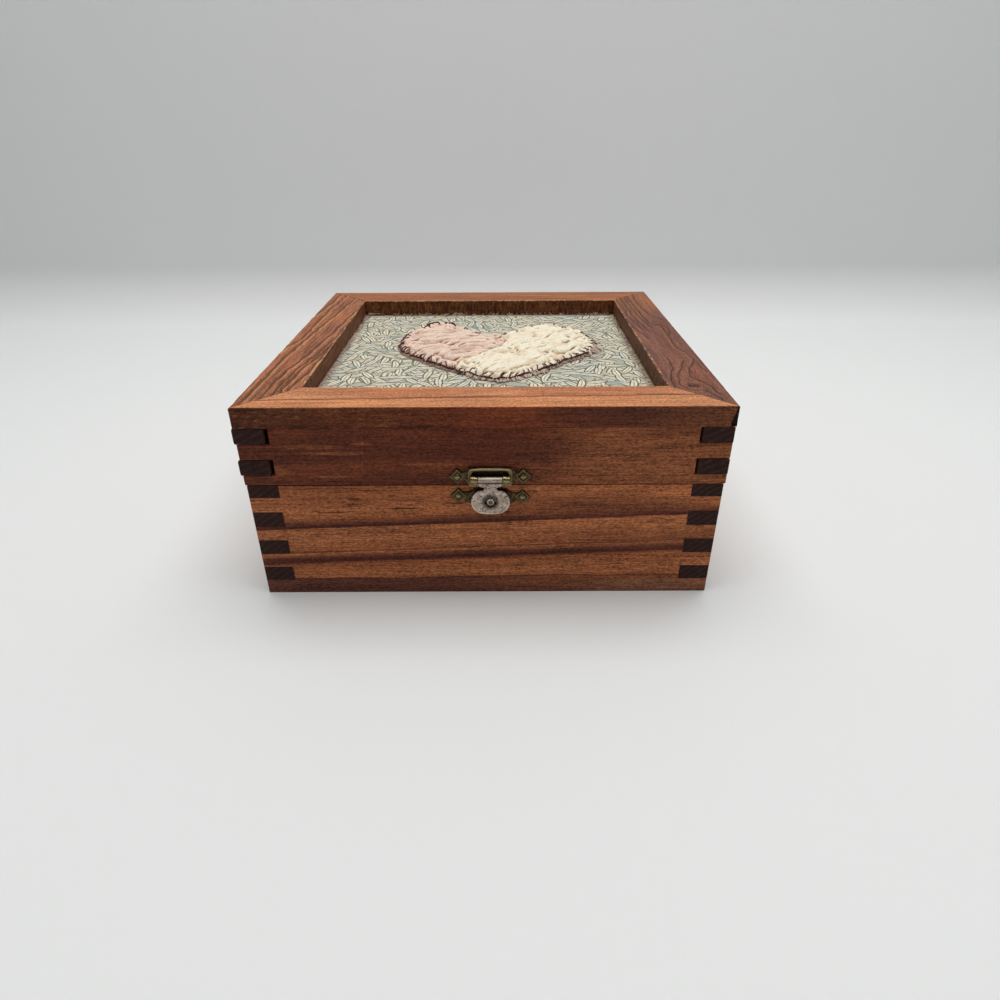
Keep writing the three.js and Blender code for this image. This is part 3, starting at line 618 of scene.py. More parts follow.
FRONT_LINES = [[(-104, -93.3), (-60, -92.3), (5, -90.2), (50, -89.3), (100, -88.2)]]
BACK_LINES = [[(-100, 83), (-40, 84.5), (30, 83.6), (100, 85)], [(-100, 88.5), (0, 89), (100, 88)],
              [(-90, 94.5), (10, 93.2), (95, 94.6)], [(-60, 98), (40, 98.4), (90, 97.6)]]
LEFT_LINES = [
    [(-99.4, -104), (-99.2, -94.8), (-98, -68), (-97.4, -37), (-95.8, -18), (-93.3, 9.7), (-87.4, 70), (-84, 104)],
    [(-103, -30), (-101.2, -20), (-97.4, -4.8), (-96.7, 36), (-94.5, 73), (-92, 104)],
    [(-93, -104), (-92.6, -88.4), (-91.6, -60.8), (-86.7, -28), (-83.9, 2.2), (-79.1, 60), (-76, 95)],
    [(-89, -100), (-88.8, -85), (-87.7, -59.6), (-84.1, -38.8), (-80.7, -10), (-78.5, 27), (-76, 60)],
    [(-86.3, -95), (-86.1, -80.6), (-85.1, -59.6), (-81.7, -37), (-79.2, -17), (-76, 8)],
    [(-83.5, -92), (-83.1, -78), (-80.3, -54), (-79.1, -22), (-76, -5)],
    [(-103, 34), (-100.4, 52), (-98.6, 74), (-97, 104)],
]
RIGHT_LINES = [
    [(77.5, 88), (78.7, 71), (78.5, 25), (81.3, 6), (83.6, -7.6)],
    [(80.6, 86), (81.2, 60), (81, 38), (83, 19), (84.6, 8)],
    [(83, 92), (83.3, 78), (83.6, 39.5), (86, 15.6), (87.5, 2.7)],
    [(85.6, 92), (86.2, 62), (86.4, 41), (88.4, 22), (90, 12)],
    [(88, 96), (88.2, 83), (89, 46), (90.6, 23), (97.6, 17), (96.6, -1)],
    [(92.4, 98), (92, 70), (93.2, 44), (98.6, 30)],
    [(90.5, 17), (95, 17), (95.6, -1), (95, -21), (97.7, -36), (100, -60)],
    [(98, -44), (94.5, -52.6), (91.1, -63), (91.6, -70), (95.6, -75), (98.4, -90)],
    [(93, -44), (90.8, -50), (85.4, -68), (84.6, -79.5), (88, -83.5), (93.6, -84), (97, -95)],
    [(87, -40), (85.6, -54), (81.6, -70), (81, -79)],
    [(87.2, -79), (88.6, -75.6), (91.4, -75.8), (92.2, -78.6), (90, -80.4), (87.2, -79)],
    [(88.4, -78.6), (89.6, -77), (90.9, -77.9), (89.8, -79.2), (88.4, -78.6)],
]


def frame_wood(name, along, tones, seed, details, light, dark):
    """Frame finish: plain wood with its dark ring lines and a pale step beside each, partly painted
    highlight where light would catch the step; a pale line on the inner arris, partly wear and partly
    painted highlight; and upright faces inside the opening darkened as painted shade over a hatched texture."""
    finish = Finish(name, roughness=0.55, specular=0.12)
    x, y, z = finish.xyz
    cloud = finish.noise([40 if axis == along else 5 for axis in range(3)], seed + 7, detail=3.0)
    colour = finish.ramp(cloud, [(0.3, tones[0]), (0.7, tones[1])])
    colour = details(finish, colour)
    # Painted highlight, partly paler wood: the light colour on the step beside each ring line.
    colour = finish.mix(finish.value("flank") * 0.65, colour, light)
    colour = finish.mix(finish.value("line") * 0.95, colour, dark)
    opening = abs(x).math("MAXIMUM", abs(y) + 0.4)
    # Painted shade: the upright faces inside the opening are darkened, over a hatched texture.
    inside = opening.rise(78.75, 78.5)
    hatch = finish.noise((1.3, 1.3, 4.0), seed + 8, detail=2.0, rough=0.6)
    colour = finish.mix(inside * 0.85, colour, finish.ramp(hatch, [(0.38, rgb(50, 25, 14)), (0.64, rgb(122, 76, 44))]))
    # A pale line along the inner top arris: partly wear, partly painted highlight.
    arris_wear_and_highlight = (opening - 78.8).line(0.25, 0.4) * z.rise(90.9, 91.4) * finish.noise(2.2, seed + 9).rise(0.4, 0.66)
    colour = finish.mix(arris_wear_and_highlight * 0.6, colour, rgb(214, 168, 128))
    return long_grain(finish, colour, along, seed, rgb(86, 46, 30), flecks=0.25)


def front_face_stain(finish, colour):
    """The front bar's upright face is stained dark, with golden figure on the left and red in the middle,
    and a black glue line below; its top stays pale, most of all along the front edge."""
    x, y, z = finish.xyz
    pale = (y + FRAME_HALF_Y - x * 0.026).rise(11.4, 9.4)
    colour = finish.mix(pale * 0.4, colour, rgb(206, 140, 90))
    stain = finish.ramp(x, [(-100, rgb(84, 43, 29)), (-70, rgb(94, 49, 29)), (-10, rgb(122, 60, 36)),
                            (10, rgb(130, 64, 38)), (60, rgb(108, 60, 42)), (100, rgb(130, 76, 50))])
    gold = finish.noise((3.2, 3.2, 0.8), 81, detail=4.0, rough=0.75).rise(0.4, 0.7)
    gold = gold * finish.noise((16, 16, 5), 83).rise(0.38, 0.6) * x.rise(-10, -50)
    stain = finish.mix(gold * 0.6, stain, rgb(156, 98, 54))
    shade = finish.spot((48, 88), (36, 6))
    stain = finish.mix(shade * 0.45, stain, rgb(78, 42, 34))
    glue = z.rise(84.6, 83.2) * finish.noise((7, 7, 2), 82).rise(0.42, 0.6) * abs(x + 55).rise(46, 30)
    stain = finish.mix(glue * 0.8, stain, rgb(44, 24, 20))
    face = (y + FRAME_HALF_Y).rise(0.65, 0.3)
    return finish.mix(face, colour, stain)


def right_bar_marks(finish, colour):
    """The right bar turns from orange at the back to a purple brown, greyed in places, round a knot."""
    _, y, _ = finish.xyz
    far = (y + (finish.noise(16, 91) - 0.5) * 40).rise(16, 74)
    colour = finish.mix(far * 0.7, colour, rgb(158, 100, 66))
    grey = finish.noise((9, 24, 9), 92, detail=3.0).rise(0.46, 0.66) * far.flip()
    colour = finish.mix(grey * 0.5, colour, rgb(98, 70, 66))
    warm = finish.spot((93, -62), (10, 24), axes=(0, 1))
    colour = finish.mix(warm * 0.4, colour, rgb(150, 92, 64))
    eye = finish.spot((89.6, -77.9), (3.0, 2.4), axes=(0, 1))
    return finish.mix(eye.rise(0.0, 0.7) * 0.8, colour, rgb(56, 42, 44))


def plain_bar(finish, colour):
    """A bar without marks of its own: a slow change along it."""
    slow = finish.noise(46, 95).rise(0.35, 0.65)
    return finish.mix(slow * 0.35, colour, rgb(178, 112, 72))


mitre_ends = end_grain("dark mitre ends", 0.3, 8, rgb(46, 30, 26))
for hand, half_long, lines, wide, fine, relief, finish in (
    ("front", FRAME_HALF_X, FRONT_LINES, 0.8, 0.0, 0.05,
     frame_wood("pale front bar", 0, (rgb(172, 107, 72), rgb(190, 131, 91)), 101, front_face_stain,
                rgb(194, 130, 88), rgb(126, 70, 48))),
    ("right", FRAME_HALF_Y, RIGHT_LINES, 0.42, 0.4, 0.16,
     frame_wood("knotty right bar", 1, (rgb(106, 64, 51), rgb(130, 85, 68)), 111, right_bar_marks,
                rgb(142, 95, 72), rgb(56, 31, 26))),
    ("back", FRAME_HALF_X, BACK_LINES, 0.5, 0.4, 0.08,
     frame_wood("striped back bar", 0, (rgb(136, 82, 54), rgb(168, 110, 73)), 121, plain_bar,
                rgb(174, 116, 77), rgb(88, 46, 31))),
    ("left", FRAME_HALF_Y, LEFT_LINES, 0.65, 1.0, 0.26,
     frame_wood("ridged left bar", 1, (rgb(138, 82, 58), rgb(166, 108, 76)), 131, plain_bar,
                rgb(200, 144, 96), rgb(58, 29, 19))),
):
    bar, bar_faces, bar_kinds, line, flank = frame_bar(hand, half_long, lines, wide, fine, relief, 17)
    add_piece(f"{hand}_frame_bar", bar, bar_faces, [finish, mitre_ends], "lid", "frame_wood", [f"frame_{hand}"],
              kinds=bar_kinds, line=line, flank=flank)

# ---- Quilted heart
# An appliqué cut from an old quilt: a faded pink patch and a cream one, joined by a slanting seam
# and padded with a thin layer of batting. Washing has shrunk the batting under the cotton, which
# is left crinkled all over between the stitches.

NOTCH, SEAM_END, TIP = (6, 24), (-15.5, -33.6), (6.5, -46.3)
LEFT_EDGE = [NOTCH, (-1.5, 25.5), (-8, 30.5), (-14, 38), (-22, 46.5), (-28.8, 50.3), (-34.5, 46.5), (-40, 37.5),
             (-45, 28), (-46.8, 18), (-46.6, 8), (-43.9, -2), (-38.6, -10.5), (-32, -17.8), (-22.8, -27.5), SEAM_END]
RIGHT_EDGE = [SEAM_END, (-9, -38), (-2, -42.3), TIP, (14, -43.4), (23.6, -36.6), (31, -28.6), (38.6, -20.6),
              (46.4, -13), (53.4, -4), (57.4, 5), (57.8, 14), (55.6, 23), (50.4, 35), (43.6, 41), (37.5, 45.5),
              (31, 44.6), (24, 42), (18.6, 36), (12.2, 29.6), NOTCH]
SEAM = [SEAM_END, (-14.3, -28.5), (-12, -22), (-8.6, -20.2), (-5.2, -19), (-3, -13.5), (2.1, -6), (6.6, -0.8),
        (9.5, 11), NOTCH]
HEART_SEAT = 82.8
CALM, CALM_REACH = (13, -22), 14  # where the cream patch lies smooth, and how far that reaches


class Patch:
    """One patch of the heart: its outline, first the sewn outer edge and then the seam, and the places
    of its stitches and quilting tacks."""

    def __init__(self, outer, seam, middle, lie, few, seed):
        self.middle, self.lie, self.few, self.seed = np.array(middle, float), math.radians(lie), few, seed
        outline = np.vstack([outer[:-1], seam[:-1]])
        steps = np.hypot(*np.diff(np.vstack([outline, outline[:1]]), axis=0).T)
        self.run = np.concatenate([[0], np.cumsum(steps)[:-1]])
        self.outer_length = np.hypot(*np.diff(outer, axis=0).T).sum()
        away = (outline - self.middle) / np.linalg.norm(outline - self.middle, axis=1, keepdims=True)
        ragged = 1.9 * (smooth_noise(self.run / 2.4, 0 * self.run, seed) - 0.5)
        ragged += 1.4 * (smooth_noise(self.run / 7.0, 0 * self.run, seed + 1) - 0.5)
        self.outline = outline + away * (ragged * self.sewn(self.run))[:, None]
        rng = np.random.default_rng(seed)
        count = int(self.outer_length / 3.6)
        self.stitches = (np.arange(count) + 0.5) * self.outer_length / count + rng.uniform(-1.5, 1.5, count)
        self.lengths, self.leans = rng.uniform(1.4, 4.4, count), rng.uniform(-2.2, 2.2, count)
        spread = rng.uniform(-60, 60, (260, 2))
        self.tacks = spread[[self.depth(spot) > 6 for spot in spread]][:14]

    def sewn(self, run):
        """1 on the outer edge and 0 on the seam, with a short step between them."""
        return np.clip(np.minimum(run, self.outer_length - run) / 3 + 0.2, 0, 1)

    def edge_at(self, run):
        """Points on the outline, and how far each is from the middle of the patch."""
        edge = np.stack([np.interp(run, self.run, self.outline[:, k]) for k in (0, 1)], -1)
        return edge, np.linalg.norm(edge - self.middle, axis=-1)

    def depth(self, spot):
        """How far a spot lies inside the outline, or a negative number outside it."""
        x, y = self.outline.T
        x2, y2 = np.roll(x, -1), np.roll(y, -1)
        crossed = (y > spot[1]) != (y2 > spot[1])
        inside = np.sum(crossed & (spot[0] < x + (spot[1] - y) * (x2 - x) / np.where(y2 == y, 1e-9, y2 - y))) % 2
        return np.hypot(x - spot[0], y - spot[1]).min() * (1 if inside else -1)

    def pad(self, rings=40):
        """Rings of points from the middle out to the edge, with a rounded edge and a low crown, then
        down to the cloth; both ends are closed."""
        share = np.linspace(0.02, 1, rings)[:, None] ** 0.8
        reach = self.edge_at(self.run)[1]
        inside = (1 - share) * reach
        edge = lambda low, span: low + (3.3 - low) * np.sqrt(1 - (1 - np.clip(inside / span, 0, 1)) ** 2)
        sewn = self.sewn(self.run)
        high = edge(2.7, 1.4) * (1 - sewn) + edge(1.4, 5.0) * sewn + 0.5 * (1 - share**3)
        flat = self.middle + (self.outline - self.middle) * share[..., None]
        top = np.concatenate([flat, HEART_SEAT + high[..., None]], -1)
        skirt = top[-1:] * [1, 1, 0] + [0, 0, HEART_SEAT]
        points = np.concatenate([top, skirt])
        rows, columns = points.shape[:2]
        faces = grid_faces(rows, columns, round_columns=True).tolist()
        faces += [list(range(columns)), list(range((rows - 1) * columns, rows * columns))]
        return points.reshape(-1, 3), faces

    def height(self, flat):
        """The height of the padded surface over each flat place, from its nearest point."""
        places = flat.reshape(-1, 1, 2)
        return self.skin[np.linalg.norm(places - self.skin[None, :, :2], axis=-1).argmin(1), 2].reshape(flat.shape[:-1])

    def stitch_ends(self):
        """Where each stitch dives into the patch."""
        edge, reach = self.edge_at(np.clip(self.stitches + self.leans, 0, self.outer_length))
        return self.middle + (edge - self.middle) * (1 - self.lengths / reach)[:, None]

    def plump(self, frames=22):
        """A cloth simulation, at ten times the size so that the solver works well. The pad is remeshed
        evenly and held by its underside, its edge, its stitches and its tacks. The cotton grows by an eighth
        under a light pressure, so it buckles into crinkles; no point may move more than 1.2 mm."""
        grown = 0.01
        points, faces = self.pad()
        mesh = bpy.data.meshes.new("pad")
        mesh.from_pydata((points * grown).tolist(), [], faces)
        pad = bpy.data.objects.new("pad", mesh)
        bpy.context.scene.collection.objects.link(pad)
        even = pad.modifiers.new("even", "REMESH")
        even.mode, even.voxel_size = "VOXEL", 1.0 * grown
        pad.data = bpy.data.meshes.new_from_object(pad.evaluated_get(bpy.context.evaluated_depsgraph_get()))
        pad.modifiers.clear()
        count = len(pad.data.vertices)
        start = np.empty(count * 3, np.float32)
        pad.data.vertices.foreach_get("co", start)
        start = start.reshape(-1, 3).astype(float) / grown
        pins = np.vstack([self.stitch_ends(), self.tacks])
        near = np.linalg.norm(start[:, None, :2] - pins[None], axis=-1).min(1)
        high = start[:, 2] - HEART_SEAT
        rim = self.outline[self.sewn(self.run) > 0.9][::2]
        brink = np.linalg.norm(start[:, None, :2] - rim[None], axis=-1).min(1)
        start[:, 2] -= 0.5 * high * np.exp(-((near / 0.9) ** 2))
        pad.data.vertices.foreach_set("co", (start * grown).ravel())
        held = np.flatnonzero((high < 0.8) | (near < 0.7) | (brink < 1.0)).tolist()
        pad.vertex_groups.new(name="held").add(held, 1.0, "REPLACE")
        cloth = pad.modifiers.new("cotton", "CLOTH")
        cloth.point_cache.frame_start, cloth.point_cache.frame_end = 1, frames
        cotton = cloth.settings
        cotton.vertex_group_mass = "held"
        cotton.effector_weights.gravity = 0.0
        cotton.quality, cotton.mass, cotton.air_damping = 6, 0.2, 2.0
        cotton.tension_stiffness = cotton.compression_stiffness = 18.0
        cotton.shear_stiffness, cotton.bending_stiffness = 8.0, 0.05
        cotton.shrink_min = -0.13
        cotton.use_pressure, cotton.uniform_pressure_force = True, 1.4
        for step in range(1, frames + 1):
            bpy.context.scene.frame_set(step)
        settled = pad.evaluated_get(bpy.context.evaluated_depsgraph_get()).data
        end = np.empty(count * 3, np.float32)
        settled.vertices.foreach_get("co", end)
        moved = end.reshape(-1, 3) / grown - start
        far = np.linalg.norm(moved, axis=1, keepdims=True)
        start = start + moved * np.minimum(1, 1.2 / np.maximum(far, 1e-6))
        bpy.context.scene.frame_set(1)
        pad.modifiers.clear()
        pad.data.vertices.foreach_set("co", (start * grown).ravel())
        finer = pad.modifiers.new("finer", "SUBSURF")
        finer.levels = finer.render_levels = 1
        mesh = pad.evaluated_get(bpy.context.evaluated_depsgraph_get()).data
        points, quads = np.empty(len(mesh.vertices) * 3, np.float32), np.empty(len(mesh.polygons) * 4, np.int32)
        mesh.vertices.foreach_get("co", points)
        mesh.polygons.foreach_get("vertices", quads)
        points, quads = points.reshape(-1, 3).astype(float) / grown, quads.reshape(-1, 4)
        bpy.data.objects.remove(pad)
        return self.creased(points), quads

    def creased(self, points):
        """Creases on top of the pad, running along the lie of its cloth: the gaps between the ridges of a
        noise drawn out along it, and thin lines in wavy rows, each broken into lengths of its own."""
        x, y = points[:, 0], points[:, 1]
        u = x * math.cos(self.lie) + y * math.sin(self.lie)
        v = y * math.cos(self.lie) - x * math.sin(self.lie)
        bend = 5.0 * smooth_noise(u / 11, v / 11, self.seed + 1) + 1.2 * smooth_noise(u / 3, v / 3, self.seed + 5)
        ridge = np.abs(2 * smooth_noise(u / 9, (v + bend) / 2.6, self.seed + 2) - 1) ** 0.7 - 0.6
        row = (v + bend) / 3.4
        shown = smooth_noise(u / 6.5, np.floor(row) * 7.7, self.seed + 3)
        line = np.exp(-(((row % 1 - 0.5) * 3.4 / 0.5) ** 2)) * np.clip(4 * shown - self.few, 0, 1)
        fold = 0.5 * ridge - 1.15 * line
        calm = np.exp(-((x - CALM[0]) ** 2 + (y - CALM[1]) ** 2) / CALM_REACH**2)
        fold *= (0.6 + 0.8 * smooth_noise(x / 16, y / 16, self.seed + 4)) * (1 - 0.8 * calm)
        on_top = np.clip((points[:, 2] - HEART_SEAT - 1.6) / 1.0, 0, 1)
        lifted = points.copy()
        lifted[:, 2] += 1.3 * fold * on_top
        lifted[:, 2] = np.maximum(lifted[:, 2], HEART_SEAT - 0.02)
        return lifted


def hollows(points, faces, rounds=24):
    """How far each point stands above the mean of its neighbourhood: the height minus itself after a number
    of rounds of averaging over the edges, with the strongest sixth of the creases beyond 1."""
    edges = np.vstack([faces[:, [0, 1]], faces[:, [1, 2]], faces[:, [2, 3]], faces[:, [3, 0]]])
    a, b = np.concatenate([edges[:, 0], edges[:, 1]]), np.concatenate([edges[:, 1], edges[:, 0]])
    ties = np.bincount(a, minlength=len(points))
    even = points[:, 2].copy()
    for _ in range(rounds):
        even = 0.4 * even + 0.6 * np.bincount(a, even[b], len(points)) / ties
    stands = points[:, 2] - even
    return stands / np.percentile(np.abs(stands), 85)


def quilt_cotton(name, bright, pale, deep, grime_and_shade, seed):
    """Washed cotton: paler on the crests as painted light and darker in the creases, partly soil and
    partly painted shade, with blotches and a plain weave.
    """
    finish = Finish(name, roughness=0.95, sheen=0.2, specular=0.1)
    fold = finish.value("fold") + (finish.noise(1.6, seed + 2) - 0.5) * 0.5
    blotch = finish.noise(11, seed, detail=3.0)
    colour = finish.ramp(fold, [(-2.2, grime_and_shade), (-0.9, deep), (-0.1, pale), (1.0, bright)])
    colour = finish.mix(blotch.rise(0.48, 0.7) * 0.45, colour, deep)
    warp = (finish.xyz[0] * (2 * math.pi / 0.5)).math("SINE")
    weft = (finish.xyz[1] * (2 * math.pi / 0.5)).math("SINE")
    fuzz = finish.noise(0.8, seed + 1, detail=3.0)
    colour = finish.mix(1.0, colour, fuzz * 0.8 + 0.62, "MULTIPLY")
    return finish.coat(colour, warp * weft * 0.4 + fuzz * 1.4, 0.16)


pink = Patch(through(LEFT_EDGE), through(SEAM), (-21, 14), 20, 1.5, 21)
cream = Patch(through(RIGHT_EDGE), through(SEAM)[::-1], (24, 4), 50, 2.1, 37)
# Each patch's colours run from painted light on the crests to soil and painted shade in the creases.
pink_cotton = quilt_cotton("faded pink cotton", rgb(250, 226, 208), rgb(236, 206, 186), rgb(178, 126, 108),
                           rgb(96, 48, 38), 201)
cream_cotton = quilt_cotton("cream cotton", rgb(255, 249, 228), rgb(252, 240, 216), rgb(224, 196, 158),
                            rgb(120, 78, 56), 211)
for patch, name, finish, slot, node in (
    (pink, "pink_heart_patch", pink_cotton, "pink_cotton", "heart_pink_patch"),
    (cream, "cream_heart_patch", cream_cotton, "cream_cotton", "heart_cream_patch"),
):
    points, faces = patch.plump()
    patch.skin = points[points[:, 2] > HEART_SEAT + 0.9]
    joined = patch.outline[patch.sewn(patch.run) < 0.5][::2]
    off_seam = np.linalg.norm(points[:, None, :2] - joined[None], axis=-1).min(1)
    # Painted shade: darker in the hollows and along the seam, over some soil in the creases.
    fold = hollows(points, faces) - 1.8 * np.exp(-((off_seam / 0.7) ** 2))
    pad = add_piece(name, points, faces, [finish], "lid", slot, [node], fold=fold)

# ---- Stitches and loose fibres
# The heart is sewn down by hand with dark red-brown thread: a short stitch over the edge every few
# millimetres and a thread along the lower side. Batting and frayed cotton show below the edge.


def threads(paths, radius, sides=6):
    """Round threads: a circle carried along each path, square to it. paths has one row of points for
    each thread, all with the same number of points."""
    ahead = np.gradient(paths, axis=1)
    ahead /= np.linalg.norm(ahead, axis=-1, keepdims=True) + 1e-9
    beside = np.cross(ahead, np.array([0.13, 0.21, 0.97]))
    beside /= np.linalg.norm(beside, axis=-1, keepdims=True) + 1e-9
    above = np.cross(beside, ahead)
    turn = np.linspace(0, 2 * np.pi, sides, endpoint=False)
    circle = np.cos(turn)[:, None] * beside[..., None, :] + np.sin(turn)[:, None] * above[..., None, :]
    taper = np.ones(paths.shape[1])
    taper[[0, -1]] = 0.55
    points = paths[..., None, :] + radius * taper[:, None, None] * circle
    count, length = paths.shape[:2]
    one = grid_faces(length, sides, round_columns=True)
    ends = np.array([list(range(sides)), list(range((length - 1) * sides, length * sides))])
    step = (np.arange(count) * length * sides)[:, None, None]
    faces = (one[None] + step).reshape(-1, 4).tolist() + (ends[None] + step).reshape(-1, sides).tolist()
    return points.reshape(-1, 3), faces


def over_stitches(patch):
    """Each stitch comes up outside the edge, goes over it and dives into the patch, leaning to one
    side; it lies on the nearest points of the padded surface."""
    step = np.linspace(0, 1, 11)[None, :]
    run = np.clip(patch.stitches[:, None] + patch.leans[:, None] * step, 0.2, patch.outer_length - 0.2)
    edge, reach = patch.edge_at(run)
    into = np.clip((step - 0.25) / 0.75, 0, 1) * patch.lengths[:, None]
    under = np.clip(1 - step / 0.3, 0, 1)
    out = (edge - patch.middle) / reach[..., None]
    flat = edge + out * (0.5 * under - into)[..., None]
    z = patch.height(flat) + 0.22 - 0.6 * np.clip((step - 0.88) / 0.12, 0, 1)
    z = z * (1 - under) + (HEART_SEAT + 0.35) * under
    return np.concatenate([flat, z[..., None]], -1)


def edge_thread(patch, start, stop, seed):
    """A thread that lies along the lower edge, dipping between the stitches that hold it."""
    run = np.arange(start, stop, 0.6)
    edge, reach = patch.edge_at(run)
    wave = smooth_noise(run / 2.4, 0 * run, seed) - 0.5
    flat = edge + (edge - patch.middle) / reach[:, None] * (0.55 + 0.5 * wave)[:, None]
    z = HEART_SEAT + 1.6 + 0.7 * (smooth_noise(run / 3.3, 0 * run, seed + 1) - 0.5)
    return np.concatenate([flat, z[:, None]], -1)[None]


def fibres(roots, away, seed, short=1.0, long=2.6, rise=1.1, up=0.0):
    """Short curled fibres that start at the roots, at a height of up to up over the cloth, each turned its
    own way about away, and come down to the cloth with their middles lifted."""
    rng = np.random.default_rng(seed)
    count = len(roots)
    away = away + rng.uniform(-1.2, 1.2, count)
    step = np.linspace(0, 1, 6)
    angle = away[:, None] + rng.uniform(-1.4, 1.4, count)[:, None] * step
    stride = rng.uniform(short, long, count)[:, None] / 5
    x = (roots[:, 0] - 0.6 * np.cos(away))[:, None] + np.cumsum(np.cos(angle), 1) * stride
    y = (roots[:, 1] - 0.6 * np.sin(away))[:, None] + np.cumsum(np.sin(angle), 1) * stride
    lift = rng.uniform(0.1, rise, count)[:, None] * np.sin(np.pi * np.clip(step * 0.9 + 0.1, 0, 1))
    start = rng.uniform(0, 1, count)[:, None] * up * (1 - step)
    return np.stack([x, y, HEART_SEAT + 0.12 + start + lift], -1)


def frayed(patch, count, seed, span=None, on_top=False, **shape):
    """Fibres that stick out from under a patch, all round it or along a span of its edge, or lie in on top."""
    run = np.random.default_rng(seed + 50).uniform(*(span or (0, patch.outer_length)), count)
    edge, _ = patch.edge_at(run)
    out = edge - patch.middle
    paths = fibres(edge, np.arctan2(out[:, 1], out[:, 0]) + math.pi * on_top, seed, **shape)
    if on_top:
        paths[..., 2] += patch.height(paths[..., :2]) - HEART_SEAT
    return paths


def lint(count, seed):
    """Fibres caught along the foot of the frame, most of them at the back."""
    rng = np.random.default_rng(seed)
    side = rng.choice(4, count, p=[0.5, 0.2, 0.2, 0.1])
    along = rng.uniform(-77, 77, count)
    x = np.choose(side, [along, 0 * along - 78, 0 * along + 78, along])
    y = np.choose(side, [0 * along + 77.6, along, along, 0 * along - 77.6])
    facing = np.choose(side, [-math.pi / 2, 0.0, math.pi, math.pi / 2])
    return fibres(np.stack([x, y], -1), facing, seed, 1.2, 3.4, 1.5)


def thread_finish(name, colour, dark, seed):
    """Twisted thread, darker where it is worn or dirty."""
    finish = Finish(name, roughness=0.85, sheen=0.2, specular=0.1)
    wear = finish.noise(1.1, seed, detail=2.0)
    return finish.coat(finish.ramp(wear, [(0.3, dark), (0.65, colour)]), wear, 0.05)


dark_thread = thread_finish("dark sewing thread", rgb(100, 42, 32), rgb(50, 21, 16), 301)
batting = thread_finish("frayed batting", rgb(250, 236, 220), rgb(220, 186, 166), 311)
rosy = thread_finish("frayed pink cotton", rgb(250, 224, 210), rgb(206, 158, 142), 321)
left_end, tip_end = pink.outer_length - 84, pink.outer_length - 0.5
for name, paths, radius, sides, finish, slot in (
    ("pink_edge_stitches", over_stitches(pink), 0.34, 6, dark_thread, "pink_cotton"),
    ("cream_edge_stitches", over_stitches(cream), 0.32, 6, dark_thread, "cream_cotton"),
    ("lower_thread_left", edge_thread(pink, left_end, tip_end, 3), 0.5, 6, dark_thread, "pink_cotton"),
    ("lower_thread_right", edge_thread(cream, 0.5, 104, 4), 0.5, 6, dark_thread, "cream_cotton"),
    ("knotted_thread", frayed(pink, 22, 14, (36, 58), True, short=2.5, long=5.5, rise=0.9), 0.42, 6, dark_thread,
     "pink_cotton"),
    ("short_ends_left", frayed(pink, 46, 17, (66, 150), True, short=1.0, long=2.8, rise=0.3), 0.26, 5, dark_thread,
     "pink_cotton"),
    ("ragged_far_edge", frayed(cream, 130, 16, (112, 166), rise=1.0, up=3.2, long=3.2), 0.3, 3, batting,
     "cream_cotton"),
    ("frayed_pink_edge", frayed(pink, 420, 7, up=1.6), 0.12, 3, rosy, "pink_cotton"),
    ("frayed_cream_edge", frayed(cream, 320, 8, up=1.6), 0.12, 3, batting, "cream_cotton"),
    ("fringe_left", frayed(pink, 320, 9, (left_end, tip_end), rise=0.7, up=1.2), 0.22, 3, rosy, "pink_cotton"),
    ("fringe_right", frayed(cream, 320, 10, (20, 104), rise=0.7, up=1.2), 0.22, 3, rosy, "cream_cotton"),
    ("fringe_at_tip", frayed(cream, 320, 15, (6, 52), long=3.4, rise=0.9, up=1.3), 0.25, 3, batting, "cream_cotton"),
    ("loose_loops", frayed(cream, 30, 13, (84, 104), short=3.5, long=7.0, rise=2.2, up=2.4), 0.2, 4, batting,
     "cream_cotton"),
    ("pale_lint", lint(260, 11), 0.1, 3, batting, "printed_cotton"),
    ("dark_lint", lint(160, 12), 0.12, 3, dark_thread, "printed_cotton"),
):
    thread_points, thread_faces = threads(paths, radius, sides)
    add_piece(name, thread_points, thread_faces, [finish], "lid", slot)

# ---- Catch and keeper
# A small pressed catch of antiqued brass nailed to the lid, with a worn plated flap on a pin; the
# keeper plate with its rivet is nailed to the base just below, a little crooked. The brass was
# blackened and then rubbed, so it is dark in the hollows and bright on the raised rims. A painted
# highlight lies on the rim beads, the barrel, the flap's lower rim and the rivet; the catch's well is
# painted shade, and the keeper's top a painted shadow under the catch.

WOOD_FACE, CATCH_X, CATCH_Z, HOLE_Z, BARREL_FOOT = 101.5, 2.2, 60.7, 49.2, 58.5


